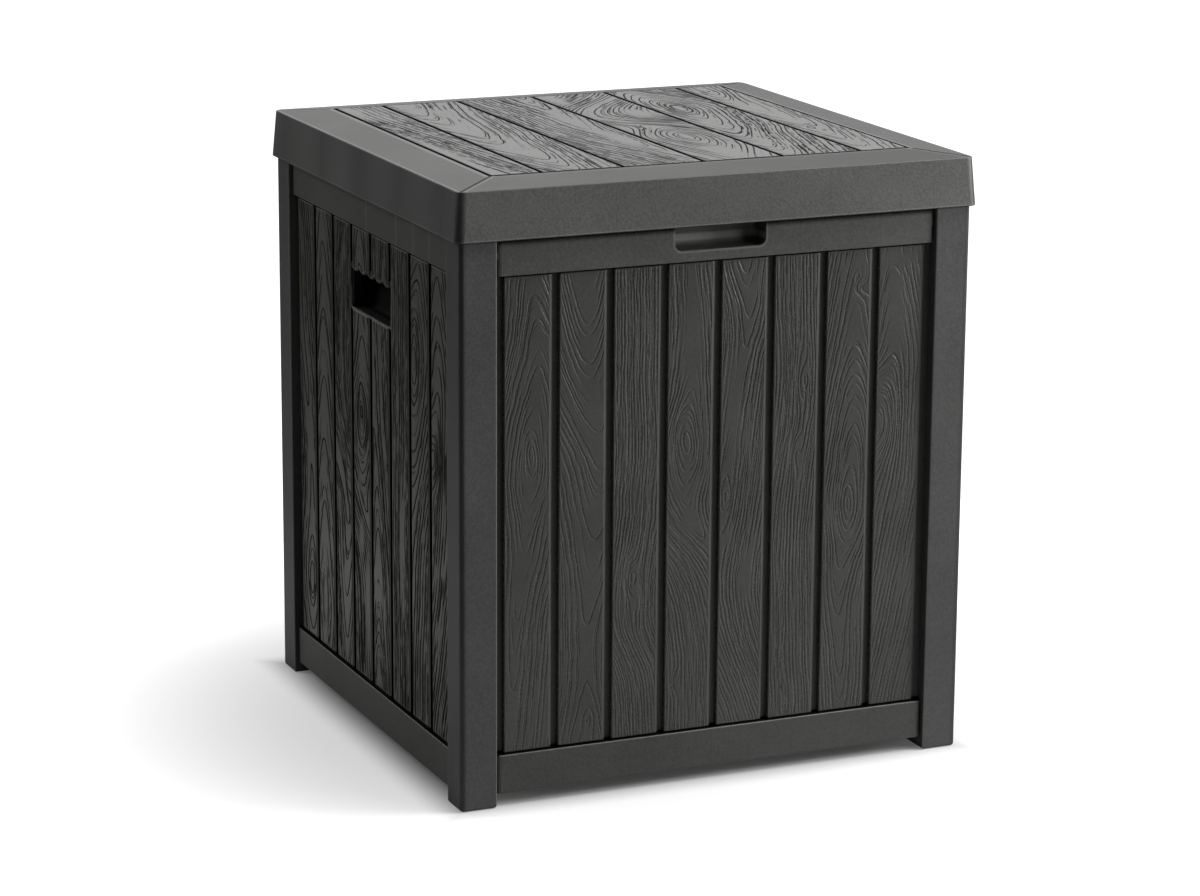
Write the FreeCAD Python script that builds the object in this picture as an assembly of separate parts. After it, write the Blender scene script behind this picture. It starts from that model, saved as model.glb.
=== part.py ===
import FreeCAD, Part
import math
import os

V = FreeCAD.Vector
UP = V(0, 0, 1)

# Garden storage chest: four corner posts, four plank-faced panels that slide into
# them, a floor on the panels' ledges and a hinged lid. Millimetres, +Z up, front at -Y,
# origin on the ground under the middle of the lid.

# Chest, measured over the outer faces of the corner posts
chest_width = 556.0
chest_depth = 541.0
overall_height = 630.0

# Lid: a leaning skirt under a mitred frame that rises to a flat field of planks
lid_overhang = 5.5
skirt_lean = 3.6
skirt_height = 49.6
lid_crown = 5.4
lid_lap = 23.0
skirt_wall = 2.5
lid_wall = 3.5
lid_corner_radius = 9.0
lid_edge_radius = 1.2
field_corner_radius = 0.6
frame_side = 50.0
frame_front = 45.5
frame_back = 48.5
lid_plank_pitch = 87.0
lid_seams = 5
seam_width = 2.8
seam_depth = 2.0
mitre_width = 1.0
mitre_depth = 0.8

# Ribbed inner panel under the lid's top, which rests on the chest's rim
rest_gap = 0.3
liner_wall = 2.5
liner_stand = 4.7
liner_margin = 4.0
rest_ring_width = 14.0
liner_rib = 2.5
liner_rib_pitch = 72.0
liner_screw_inset = 14.0

# Corner posts: square tubes that end in closed feet
post_face_x = 38.5
post_face_y = 37.5
post_wall = 3.0
post_radius = 4.5
post_edge_radius = 1.5
foot_radius = 3.0

# Panels: planks and grooves between two rails, all set back from the posts' faces
panel_wall = 3.0
rail_setback = 4.0
plank_setback = 8.0
groove_setback = 13.0
front_planks = 8
side_planks = 8
side_strip = 10.5
groove_width = 8.4
plank_edge = 0.8
foot_height = 13.0
bottom_rail_height = 40.0
top_rail_height = 59.5
rail_end_gap = 0.5
rail_end_radius = 6.0
rail_edge_radius = 1.2
rim_reach = 8.0

# Tongues with a bead along their edge, which slide down inside the posts
tongue_length = 7.0
bead_length = 3.0
bead_proud = 2.0
slot_clearance = 0.3

# Finger recess in the front's top rail, under the lid's skirt
recess_width = 98.5
recess_drop = 25.0
recess_lap = 17.0
recess_depth = 24.0
recess_radius = 7.5
recess_edge_radius = 1.2

# Hand grips in the two side panels, each closed behind by a cup
grip_width = 115.5
grip_height = 44.5
grip_drop = 45.0
grip_top_depth = 30.0
grip_floor_depth = 20.0
scallops = 5
scallop_depth = 4.5
collar_reach = 4.0
collar_setback = 1.0
cup_wall = 2.5
cup_flange = 9.0
cup_radius = 6.0

# Floor panel on the ledges of the four panels
floor_height = 33.0
floor_wall = 3.0
ledge_reach = 14.0
floor_clearance = 0.5
floor_rib = 2.5
floor_rib_height = 15.0
floor_rib_pitch = 75.0

# Two hinges behind the chest, just under the lid's skirt
hinge_inset = 108.0
hinge_width = 54.0
pivot_standoff = 3.8
pivot_drop = 5.0
pin_radius = 1.75
pin_clearance = 0.06
pin_head_radius = 3.0
pin_head = 1.2
knuckle_radius = 3.5
leaf_knuckle = 17.2
bracket_knuckle = 15.0
knuckle_gap = 0.4
bracket_plate = 2.5
bracket_height = 24.0
leaf_clearance = 1.5
leaf_height = 34.0
stop_angle = 100.0
stop_length = 5.5
stop_width = 2.5
stop_gap = 0.3

# Screws, shared by the hinges and the lid's inner panel
screw_radius = 1.9
screw_clearance = 0.05
screw_length = 8.0
screw_head_radius = 3.6
screw_head = 2.2
screw_slot = 0.9
boss_radius = 5.0
hinge_screw_offset = 18.0
leaf_screw_rise = 17.0
bracket_screw_drop = 14.0

# Levels and planes that follow from the sizes above
half_width = chest_width / 2
half_depth = chest_depth / 2
lid_edge_z = overall_height - lid_crown
skirt_bottom = lid_edge_z - skirt_height
chest_height = skirt_bottom + lid_lap
top_rail_bottom = chest_height - top_rail_height
bottom_rail_top = foot_height + bottom_rail_height
panel_depth = groove_setback + panel_wall
front_opening = chest_width - 2 * post_face_x
side_opening = chest_depth - 2 * post_face_y
rear_rail_y = half_depth - rail_setback
hinge_x = half_width - hinge_inset
pivot_y = rear_rail_y + pivot_standoff
pivot_z = skirt_bottom - pivot_drop
liner_bottom = chest_height + rest_gap + liner_stand
liner_top = liner_bottom + liner_wall
field_half_x = half_width + lid_overhang - skirt_lean - frame_side
field_front_y = -(half_depth + lid_overhang - skirt_lean) + frame_front
field_back_y = half_depth + lid_overhang - skirt_lean - frame_back
grip_top = top_rail_bottom - grip_drop
grip_bottom = grip_top - grip_height


def box(x0, x1, y0, y1, z0, z1):
    """Box between two corners"""
    return Part.makeBox(x1 - x0, y1 - y0, z1 - z0, V(x0, y0, z0))


def rod(radius, length, start, direction):
    """Round bar from a start point along a direction"""
    return Part.makeCylinder(radius, length, start, direction)


def prism(points, direction):
    """Closed outline of points, pushed along a direction"""
    wire = Part.makePolygon(points + points[:1])
    return Part.Face(wire).extrude(direction)


def fillet(shape, radius, wanted):
    """Rounds the edges whose middle point and chord direction pass the test"""
    chosen = []
    for edge in shape.Edges:
        first, last = edge.ParameterRange
        middle = edge.valueAt((first + last) / 2)
        chord = edge.valueAt(last) - edge.valueAt(first)
        if wanted(middle, chord / max(chord.Length, 0.001)):
            chosen.append(edge)
    return shape.makeFillet(radius, chosen)


def near(a, b):
    """True for two lengths that are the same"""
    return abs(a - b) < 0.001


def rounded_rectangle(x0, x1, y0, y1, radius, z):
    """Wire of four sides and four quarter turns at one level"""
    edges = []
    corners = [(x1 - radius, y1 - radius, 0), (x0 + radius, y1 - radius, 90),
               (x0 + radius, y0 + radius, 180), (x1 - radius, y0 + radius, 270)]
    arcs = []
    for cx, cy, start in corners:
        points = []
        for turn in (0, 45, 90):
            angle = math.radians(start + turn)
            points.append(V(cx + radius * math.cos(angle), cy + radius * math.sin(angle), z))
        arcs.append(points)
    for i, points in enumerate(arcs):
        edges.append(Part.Arc(*points).toShape())
        edges.append(Part.LineSegment(points[2], arcs[(i + 1) % 4][0]).toShape())
    return Part.Wire(edges)


# Lid


def skirt_lean_at(z):
    """How far the skirt has leaned in at a level, counted from its lower edge"""
    return skirt_lean * (z - skirt_bottom) / skirt_height


def lid_section(z, inset):
    """Outline of the skirt at a level, moved in by an inset"""
    shift = lid_overhang - skirt_lean_at(z) - inset
    radius = lid_corner_radius - inset
    return rounded_rectangle(-half_width - shift, half_width + shift,
                             -half_depth - shift, half_depth + shift, radius, z)


def field_section(z):
    """Outline of the flat field of planks at a level"""
    return rounded_rectangle(-field_half_x, field_half_x, field_front_y, field_back_y,
                             field_corner_radius, z)


def lid_form(bottom, inset, drop):
    """Leaning skirt and crowned frame as one solid, inset and lowered for the hollow"""
    edge_z = lid_edge_z - drop
    skirt = Part.makeLoft([lid_section(bottom, inset), lid_section(edge_z, inset)], True, True)
    crown = Part.makeLoft([lid_section(edge_z, inset), field_section(overall_height - drop)],
                          True, True)
    return skirt.fuse(crown).removeSplitter()


def lid_grooves():
    """Seams between the planks, the groove round them and the four mitre lines"""
    z0 = overall_height - seam_depth
    z1 = overall_height + seam_depth
    cuts = []
    for i in range(lid_seams):
        x = (i - (lid_seams - 1) / 2) * lid_plank_pitch
        cuts.append(box(x - seam_width / 2, x + seam_width / 2, field_front_y, field_back_y, z0, z1))
    inner_x = field_half_x - seam_width
    inner_front = field_front_y + seam_width
    inner_back = field_back_y - seam_width
    whole = box(-field_half_x, field_half_x, field_front_y, field_back_y, z0, z1)
    cuts.append(whole.cut(box(-inner_x, inner_x, inner_front, inner_back, z0, z1)))
    edge_x = field_half_x + frame_side
    edge_y = half_depth + lid_overhang - skirt_lean
    short_of_edge = (1 - math.sqrt(0.5)) * lid_corner_radius / frame_side
    low = UP * mitre_depth
    for side in (-1, 1):
        for inner_y, end in ((field_front_y, -1), (field_back_y, 1)):
            inner = V(side * field_half_x, inner_y, overall_height)
            run = V(side * edge_x, end * edge_y, lid_edge_z) - inner
            start = inner - run * (seam_width / frame_side)
            stop = inner + run * (1 - short_of_edge)
            half = V(-run.y, run.x, 0).normalize() * (mitre_width / 2)
            points = [start - half + UP, stop - half + UP, stop - half - low, start - half - low]
            cuts.append(prism(points, half * 2))
    return cuts


def lid_cover():
    """Lid shell with its bosses for the inner panel's screws"""
    outer = lid_form(skirt_bottom, 0.0, 0.0)
    outer = fillet(outer, lid_edge_radius,
                   lambda p, d: near(p.z, lid_edge_z) or near(p.z, skirt_bottom))
    inner = lid_form(skirt_bottom - 1, skirt_wall, lid_wall)
    cover = outer.cut(inner)
    under = overall_height - lid_wall
    for x, y in liner_screw_places():
        cover = cover.fuse(rod(boss_radius, under + 0.5 - liner_top, V(x, y, liner_top), UP))
    for x, y in liner_screw_places():
        depth = screw_length + screw_clearance
        hole = rod(screw_radius + screw_clearance, depth, V(x, y, liner_bottom), UP)
        cover = cover.cut(hole)
    for x in hinge_screw_xs():
        y, z = leaf_screw_head()
        cover = cover.cut(countersunk(x, y, z, screw_clearance))
    return cover.cut(lid_grooves()).removeSplitter()


def liner_screw_places():
    """Four corners and four sides of the inner panel"""
    x = field_half_x - liner_screw_inset
    y = min(-field_front_y, field_back_y) - liner_screw_inset
    return [(sx * x, sy * y) for sx in (-1, 0, 1) for sy in (-1, 0, 1) if sx or sy]


def rib_places(reach, pitch):
    """Evenly pitched places between two ends, none at the middle"""
    count = max(1, int(reach / pitch))
    return [sign * (i + 0.5) * pitch for i in range(count) for sign in (-1, 1)]


def lid_liner():
    """Inner panel with a ring that rests on the rim and ribs that carry the lid's top"""
    x = half_width - liner_margin
    y = rear_rail_y + leaf_clearance - liner_margin
    plate = box(-x, x, -y, y, liner_bottom, liner_top)
    ring_z = chest_height + rest_gap
    ring_x = half_width - rail_setback - panel_wall
    ring_y = half_depth - rail_setback - panel_wall
    outer = box(-ring_x, ring_x, -ring_y, ring_y, ring_z, liner_bottom)
    inner_x = ring_x - rest_ring_width
    inner_y = ring_y - rest_ring_width
    ring = outer.cut(box(-inner_x, inner_x, -inner_y, inner_y, ring_z, liner_bottom))
    parts = [ring]
    under = overall_height - lid_wall
    rib_y0 = field_front_y + seam_width
    rib_y1 = field_back_y - seam_width
    rib_x = field_half_x - seam_width
    half = liner_rib / 2
    for place in rib_places(rib_x, liner_rib_pitch):
        parts.append(box(place - half, place + half, rib_y0, rib_y1, liner_top, under))
    for place in rib_places(min(-rib_y0, rib_y1), liner_rib_pitch):
        parts.append(box(-rib_x, rib_x, place - half, place + half, liner_top, under))
    liner = plate.fuse(parts)
    for px, py in liner_screw_places():
        liner = liner.cut(rod(boss_radius + slot_clearance, under - liner_top,
                              V(px, py, liner_top), UP))
        hole = rod(screw_radius + screw_clearance, liner_wall, V(px, py, liner_bottom), UP)
        liner = liner.cut(hole)
    return liner.removeSplitter()


# Screws


def screw_recess(centre, direction, depth):
    """Cross-shaped recess for the driver, sunk into a head"""
    across = V(1, 0, 0)
    other = direction.cross(across)
    cuts = []
    for long_way, short_way in ((across, other), (other, across)):
        length = screw_head_radius
        corner = centre - long_way * (length / 2) - short_way * (screw_slot / 2)
        points = [corner, corner + long_way * length,
                  corner + long_way * length + short_way * screw_slot,
                  corner + short_way * screw_slot]
        cuts.append(prism(points, direction * depth))
    return cuts


def pan_screw(seat, direction):
    """Screw whose flat head sits on a face at the seat; the shank runs along direction"""
    shank = rod(screw_radius, screw_length, seat, direction)
    crown = seat - direction * screw_head
    head = rod(screw_head_radius, screw_head, crown, direction)
    head = fillet(head, screw_head / 2,
                  lambda p, d: (p - crown).Length < screw_head_radius + 0.01
                  and near((p - crown).dot(direction), 0.0))
    return head.fuse(shank).cut(screw_recess(crown, direction, screw_head / 2)).removeSplitter()


def countersunk(x, y, z, gap):
    """Countersunk screw along -Y with its flat head at y, or its hole with a gap added"""
    top = V(x, y, z)
    into = V(0, -1, 0)
    head = Part.makeCone(screw_head_radius + gap, screw_radius + gap,
                         screw_head_radius - screw_radius, top, into)
    length = y - (rear_rail_y + leaf_clearance)
    return head.fuse(rod(screw_radius + gap, length, top, into))


def hinge_screw_xs():
    """Where the hinge screws stand along the chest's back"""
    return [side * hinge_x + hand * hinge_screw_offset
            for side in (-1, 1) for hand in (-1, 1)]


def leaf_screw_head():
    """Place of a leaf screw's head, just inside the skirt's leaning outer face"""
    z = pivot_z + pivot_drop + leaf_screw_rise
    lean = skirt_lean_at(z + screw_head_radius)
    return half_depth + lid_overhang - lean, z


def bracket_screw_z():
    """Level of the bracket screws"""
    return pivot_z - bracket_screw_drop


def hinge_leaf_screws():
    """Countersunk screws through the skirt into the leaves"""
    y, z = leaf_screw_head()
    into = V(0, -1, 0)
    screws = []
    for x in hinge_screw_xs():
        recess = screw_recess(V(x, y, z), into, screw_slot)
        screws.append(countersunk(x, y, z, 0.0).cut(recess).removeSplitter())
    return Part.makeCompound(screws)


def hinge_bracket_screws():
    """Pan-headed screws through the brackets into the rear panel's bosses"""
    y = rear_rail_y + bracket_plate
    return Part.makeCompound([pan_screw(V(x, y, bracket_screw_z()), V(0, -1, 0))
                              for x in hinge_screw_xs()])


def lid_liner_screws():
    """Pan-headed screws up through the inner panel into the cover's bosses"""
    return Part.makeCompound([pan_screw(V(x, y, liner_bottom), UP)
                              for x, y in liner_screw_places()])


# Hinges


def knuckle(x0, x1):
    """Barrel round the pin between two places along it"""
    return rod(knuckle_radius, x1 - x0, V(x0, pivot_y, pivot_z), V(1, 0, 0))


def pin_bore(x):
    """Hole for the pin of the hinge at x, longer than the hinge"""
    return rod(pin_radius + pin_clearance, 2 * hinge_width, V(x - hinge_width, pivot_y, pivot_z),
               V(1, 0, 0))


def bracket_knuckle_spans(x):
    """The two barrels of a bracket, one each side of the leaf's"""
    inner = leaf_knuckle / 2 + knuckle_gap
    outer = inner + bracket_knuckle
    return [(x - outer, x - inner), (x + inner, x + outer)]


def hinge_bracket(x):
    """Plate on the rear rail with two barrels"""
    plate_top = pivot_z - knuckle_radius - 1
    plate_y = rear_rail_y + bracket_plate
    plate = box(x - hinge_width / 2, x + hinge_width / 2, rear_rail_y, plate_y,
                plate_top - bracket_height, plate_top)
    corners = min(bracket_height, hinge_width) / 6
    bracket = fillet(plate, corners, lambda p, d: abs(d.y) > 0.99)
    for x0, x1 in bracket_knuckle_spans(x):
        web = box(x0, x1, rear_rail_y, pivot_y, plate_top - corners, pivot_z)
        bracket = bracket.fuse([web, knuckle(x0, x1)])
    for place in (x - hinge_screw_offset, x + hinge_screw_offset):
        hole = rod(screw_radius + screw_clearance, bracket_plate,
                   V(place, rear_rail_y, bracket_screw_z()), V(0, 1, 0))
        bracket = bracket.cut(hole)
    return bracket.cut(pin_bore(x)).removeSplitter()


def skirt_inner_y(z):
    """Inner face of the rear skirt at a level"""
    return half_depth + lid_overhang - skirt_lean_at(z) - skirt_wall


def hinge_leaf(x):
    """Plate inside the rear skirt, with a barrel and a heel that stops the open lid"""
    inner_y = rear_rail_y + leaf_clearance
    plate_z0 = skirt_bottom + knuckle_radius - 1
    plate_z1 = plate_z0 + leaf_height
    half = hinge_width / 2
    plate = prism([V(x - half, inner_y, plate_z0), V(x - half, skirt_inner_y(plate_z0), plate_z0),
                   V(x - half, skirt_inner_y(plate_z1), plate_z1), V(x - half, inner_y, plate_z1)],
                  V(hinge_width, 0, 0))
    barrel_half = leaf_knuckle / 2
    web_y = pivot_y + knuckle_radius / 3
    web = box(x - barrel_half, x + barrel_half, inner_y, web_y, pivot_z, plate_z0 + 1)
    heel_y = rear_rail_y + bracket_plate + stop_gap
    heel = box(x - barrel_half, x + barrel_half, heel_y, heel_y + stop_width,
               pivot_z - stop_length, pivot_z)
    heel.rotate(V(x, pivot_y, pivot_z), V(1, 0, 0), stop_angle)
    leaf = plate.fuse([web, heel, knuckle(x - barrel_half, x + barrel_half)])
    for place in (x - hinge_screw_offset, x + hinge_screw_offset):
        y, z = leaf_screw_head()
        leaf = leaf.cut(countersunk(place, y, z, screw_clearance))
    return leaf.cut(pin_bore(x)).removeSplitter()


def hinge_pin(x):
    """Pin with a flat head at each end of the bracket's barrels"""
    reach = leaf_knuckle / 2 + knuckle_gap + bracket_knuckle + knuckle_gap
    axis = V(1, 0, 0)
    pin = rod(pin_radius, 2 * reach, V(x - reach, pivot_y, pivot_z), axis)
    heads = [rod(pin_head_radius, pin_head, V(start, pivot_y, pivot_z), axis)
             for start in (x - reach - pin_head, x + reach)]
    return pin.fuse(heads).removeSplitter()


# Corner posts


def tongue_slot(opening_side, top):
    """Slot with a wider inner part, seen in plan, for a tongue and its bead.

    It lies along +X from the post's inner face, with the wall's depth along +Y."""
    gap = slot_clearance
    slot = box(-1, post_wall + tongue_length + gap, groove_setback - gap, panel_depth + gap,
               foot_height - gap, top)
    bead = box(post_wall + tongue_length - bead_length - gap, post_wall + tongue_length + gap,
               groove_setback - bead_proud - gap, panel_depth + bead_proud + gap,
               foot_height - gap, top)
    slot = slot.fuse(bead)
    if opening_side == "x":
        slot = slot.mirror(V(0, 0, 0), V(1, 0, 0))
        slot.translate(V(post_face_x, 0, 0))
    else:
        slot.rotate(V(0, 0, 0), UP, -90)
        slot.translate(V(0, post_face_y, 0))
    return slot


def corner_post(side, end):
    """Hollow post with a closed foot; side and end are -1 or 1 for its corner"""
    post = box(0, post_face_x, 0, post_face_y, 0, chest_height)
    post = fillet(post, post_radius,
                  lambda p, d: abs(d.z) > 0.99 and near(p.x, 0) and near(p.y, 0))
    post = fillet(post, foot_radius, lambda p, d: near(p.z, 0))
    post = fillet(post, post_edge_radius,
                  lambda p, d: abs(d.z) > 0.99 and near(p.x * p.y, 0)
                  and (near(p.x, post_face_x) or near(p.y, post_face_y)))
    hollow = box(post_wall, post_face_x - post_wall, post_wall, post_face_y - post_wall,
                 post_wall, chest_height - post_wall)
    top = chest_height + 1
    post = post.cut([hollow, tongue_slot("x", top), tongue_slot("y", top)])
    post.translate(V(-half_width, -half_depth, 0))
    if side > 0:
        post = post.mirror(V(0, 0, 0), V(1, 0, 0))
    if end > 0:
        post = post.mirror(V(0, 0, 0), V(0, 1, 0))
    return post


# Panels, drawn with their width along X and their depth along +Y from the posts' faces


def plank_spans(opening, count):
    """Left and right edge of each plank between two posts"""
    field = opening - 2 * side_strip
    width = (field - (count - 1) * groove_width) / count
    starts = [-field / 2 + i * (width + groove_width) for i in range(count)]
    return [(start, start + width) for start in starts]


def plank_sheet(opening, count):
    """One folded wall that forms planks, grooves and tongues, pushed up between the rails"""
    edge = opening / 2 + post_wall + tongue_length
    spans = plank_spans(opening, count)
    z0 = bottom_rail_top - panel_wall
    back = groove_setback + panel_wall
    plank_back = plank_setback + panel_wall
    outline = [V(-edge, groove_setback, z0)]
    for left, right in spans:
        outline += [V(left, groove_setback, z0), V(left, plank_setback + plank_edge, z0),
                    V(left + plank_edge, plank_setback, z0),
                    V(right - plank_edge, plank_setback, z0),
                    V(right, plank_setback + plank_edge, z0), V(right, groove_setback, z0)]
    outline += [V(edge, groove_setback, z0), V(edge, back, z0)]
    for left, right in reversed(spans):
        outline += [V(right - panel_wall, back, z0), V(right - panel_wall, plank_back, z0),
                    V(left + panel_wall, plank_back, z0), V(left + panel_wall, back, z0)]
    outline.append(V(-edge, back, z0))
    return prism(outline, UP * (top_rail_bottom + panel_wall - z0))


def rail_block(opening, z0, z1):
    """Full rail between two posts, with its outer edges rounded"""
    half = opening / 2 - rail_end_gap
    block = box(-half, half, rail_setback, panel_depth, z0, z1)
    block = fillet(block, rail_end_radius,
                   lambda p, d: abs(d.z) > 0.99 and near(p.y, rail_setback))
    return fillet(block, rail_edge_radius,
                  lambda p, d: near(d.z, 0) and not near(p.y, panel_depth))


def bottom_rail(opening):
    """Rail closed above the floor's ledge and open below it"""
    half = opening / 2 - rail_end_gap
    inner = half - panel_wall
    ledge_z = floor_height - panel_wall
    y0 = rail_setback + panel_wall
    rail = rail_block(opening, foot_height, bottom_rail_top)
    rail = rail.cut([box(-inner, inner, y0, groove_setback, floor_height,
                         bottom_rail_top - panel_wall),
                     box(-inner, inner, y0, panel_depth, foot_height, ledge_z)])
    return rail.fuse(box(-half, half, groove_setback, panel_depth + ledge_reach,
                         ledge_z, floor_height))


def top_rail(opening):
    """Hollow rail with a rim that reaches inwards for the lid to rest on"""
    half = opening / 2 - rail_end_gap
    inner = half - panel_wall
    rail = rail_block(opening, top_rail_bottom, chest_height)
    rail = rail.cut(box(-inner, inner, rail_setback + panel_wall, groove_setback,
                        top_rail_bottom + panel_wall, chest_height - panel_wall))
    return rail.fuse(box(-half, half, groove_setback, panel_depth + rim_reach,
                         chest_height - panel_wall, chest_height))


def tongues(opening):
    """Upright tongues with beads at both ends of a panel"""
    edge = opening / 2 + post_wall + tongue_length
    root = opening / 2 - rail_end_radius - rail_end_gap
    top = chest_height
    strips = []
    for left, right in ((-edge, -root), (root, edge)):
        strips.append(box(left, right, groove_setback, panel_depth, foot_height, top))
    for left in (-edge, edge - bead_length):
        strips.append(box(left, left + bead_length, groove_setback - bead_proud,
                          panel_depth + bead_proud, foot_height, top))
    return strips


def plain_panel(opening, count):
    """Panel with no recess or grip, ready to be placed"""
    parts = [top_rail(opening), bottom_rail(opening)] + tongues(opening)
    return plank_sheet(opening, count).fuse(parts).removeSplitter()


def recess_form(grow, y0):
    """Finger recess, or its outer shell when grown, with rounded lower and rear edges"""
    half = recess_width / 2 + grow
    z0 = skirt_bottom - recess_drop - grow
    z1 = skirt_bottom + recess_lap + grow
    y1 = rail_setback + recess_depth + grow
    block = box(-half, half, y0, y1, z0, z1)
    return fillet(block, recess_radius + grow,
                  lambda p, d: (near(p.z, z0) and not near(p.y, y0))
                  or (near(p.y, y1) and abs(d.z) > 0.99))


def front_panel():
    """Front, with the finger recess in its top rail"""
    panel = plain_panel(front_opening, front_planks)
    shell = recess_form(panel_wall, rail_setback + panel_wall / 2)
    panel = panel.fuse(shell).cut(recess_form(0.0, rail_setback - 1)).removeSplitter()
    lowest = skirt_bottom - recess_drop
    highest = skirt_bottom + recess_lap
    panel = fillet(panel, recess_edge_radius,
                   lambda p, d: near(p.y, rail_setback) and abs(p.x) < recess_width / 2 + 1
                   and lowest - 1 < p.z < highest + 1)
    panel.translate(V(0, -half_depth, 0))
    return panel


def rear_panel():
    """Back, with bosses inside its top rail for the hinge screws"""
    panel = plain_panel(front_opening, front_planks)
    into = V(0, 1, 0)
    y0 = rail_setback + panel_wall / 2
    z = bracket_screw_z()
    for x in hinge_screw_xs():
        panel = panel.fuse(rod(boss_radius, groove_setback - y0, V(x, y0, z), into))
    for x in hinge_screw_xs():
        hole = rod(screw_radius + screw_clearance, screw_length - bracket_plate + screw_clearance,
                   V(x, rail_setback, z), into)
        panel = panel.cut(hole)
    panel = panel.removeSplitter()
    panel.rotate(V(0, 0, 0), UP, 180)
    panel.translate(V(0, half_depth, 0))
    return panel


def grip_hole(y0, y1):
    """Hand hole with finger scallops that hang from its upper edge"""
    half = grip_width / 2
    step = grip_width / scallops
    points = [V(-half, y0, grip_top), V(-half, y0, grip_bottom), V(half, y0, grip_bottom),
              V(half, y0, grip_top)]
    edges = [Part.LineSegment(a, b).toShape() for a, b in zip(points, points[1:])]
    for i in range(scallops):
        start = half - i * step
        edges.append(Part.Arc(V(start, y0, grip_top),
                              V(start - step / 2, y0, grip_top - scallop_depth),
                              V(start - step, y0, grip_top)).toShape())
    return Part.Face(Part.Wire(edges)).extrude(V(0, y1 - y0, 0))


def side_panel(side):
    """Side with a hand hole in a collar that closes the grooves and carries the cup"""
    panel = plain_panel(side_opening, side_planks)
    half = (grip_width + groove_width) / 2
    collar_back = panel_depth + collar_reach
    collar = box(-half, half, plank_setback + collar_setback, collar_back,
                 grip_bottom - panel_wall, grip_top + panel_wall)
    panel = panel.fuse(collar).cut(grip_hole(0, collar_back + 1)).removeSplitter()
    return place_on_side(panel, side)


def place_on_side(shape, side):
    """Turns a shape drawn for a panel onto the left (-1) or right (1) side"""
    shape.rotate(V(0, 0, 0), UP, 90 * side)
    shape.translate(V(side * half_width, 0, 0))
    return shape


def cup_form(y0, grow):
    """Space behind a hand hole, deeper at its top; grown by the wall for the cup's outside"""
    half = grip_width / 2 + grow
    z0 = grip_bottom - grow
    z1 = grip_top + grow
    low_y = plank_setback + grip_floor_depth + grow
    high_y = plank_setback + grip_top_depth + grow
    return prism([V(-half, y0, z0), V(-half, low_y, z0), V(-half, high_y, z1), V(-half, y0, z1)],
                 V(2 * half, 0, 0))


def grip_cup(side):
    """Cup that closes a hand hole from inside, with a flange on the panel's collar"""
    y0 = panel_depth + collar_reach
    half = grip_width / 2 + cup_flange
    flange = box(-half, half, y0, y0 + cup_wall,
                 grip_bottom - cup_flange, grip_top + cup_flange)
    hollow = fillet(cup_form(y0 - 1, 0.0), cup_radius, lambda p, d: p.y > y0)
    return place_on_side(flange.fuse(cup_form(y0, cup_wall)).cut(hollow).removeSplitter(), side)


# Floor


def floor_panel():
    """Ribbed floor, notched round the posts, that lies on the panels' ledges"""
    x = half_width - panel_depth - floor_clearance
    y = half_depth - panel_depth - floor_clearance
    plate = box(-x, x, -y, y, floor_height, floor_height + floor_wall)
    notch_x = half_width - post_face_x - floor_clearance
    notch_y = half_depth - post_face_y - floor_clearance
    top = floor_height + 2 * floor_wall
    low = floor_height - floor_rib_height
    corners = [box(min(sx * notch_x, sx * x * 2), max(sx * notch_x, sx * x * 2),
                   min(sy * notch_y, sy * y * 2), max(sy * notch_y, sy * y * 2), low, top)
               for sx in (-1, 1) for sy in (-1, 1)]
    rib_x = x - ledge_reach - floor_clearance
    rib_y = y - ledge_reach - floor_clearance
    half = floor_rib / 2
    ribs = [box(place - half, place + half, -rib_y, rib_y, low, floor_height)
            for place in rib_places(rib_x, floor_rib_pitch)]
    ribs += [box(-rib_x, rib_x, place - half, place + half, low, floor_height)
             for place in rib_places(rib_y, floor_rib_pitch)]
    return plate.fuse(ribs).cut(corners).removeSplitter()


def chest_parts():
    """Every piece of the chest by its name"""
    parts = {"front_panel": front_panel(), "rear_panel": rear_panel(),
             "floor_panel": floor_panel(), "lid_cover": lid_cover(), "lid_liner": lid_liner(),
             "lid_liner_screws": lid_liner_screws(), "hinge_leaf_screws": hinge_leaf_screws(),
             "hinge_bracket_screws": hinge_bracket_screws()}
    for side, hand in ((-1, "left"), (1, "right")):
        parts["corner_post_front_" + hand] = corner_post(side, -1)
        parts["corner_post_rear_" + hand] = corner_post(side, 1)
        parts[hand + "_panel"] = side_panel(side)
        parts["grip_cup_" + hand] = grip_cup(side)
        parts["hinge_bracket_" + hand] = hinge_bracket(side * hinge_x)
        parts["hinge_leaf_" + hand] = hinge_leaf(side * hinge_x)
        parts["hinge_pin_" + hand] = hinge_pin(side * hinge_x)
    return parts


os.makedirs("parts", exist_ok=True)
for name, shape in chest_parts().items():
    shape.exportStep("parts/" + name + ".step")
    print(name, len(shape.Solids), "solids", shape.isValid(), round(shape.Volume / 1000, 1), "cm3")
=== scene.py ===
import bpy
import math
import numpy as np
from bpy.props import FloatProperty, FloatVectorProperty, IntProperty, PointerProperty
from functools import partial
from mathutils import Matrix, Vector
from typing import NamedTuple


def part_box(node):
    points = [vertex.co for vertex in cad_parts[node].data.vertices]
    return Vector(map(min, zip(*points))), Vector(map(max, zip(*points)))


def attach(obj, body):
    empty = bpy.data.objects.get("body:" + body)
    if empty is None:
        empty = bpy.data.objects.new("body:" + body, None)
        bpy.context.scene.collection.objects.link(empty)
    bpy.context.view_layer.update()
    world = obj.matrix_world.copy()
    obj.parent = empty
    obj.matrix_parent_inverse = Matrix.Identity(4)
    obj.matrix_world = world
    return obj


bl_info = {
    "name": "Garden storage chest",
    "version": (1, 0, 0),
    "blender": (4, 5, 0),
    "location": "View3D > Sidebar > Chest",
    "description": "Dresses the packed chest with grained planks, resin finishes and a studio",
    "category": "Object",
}

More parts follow.
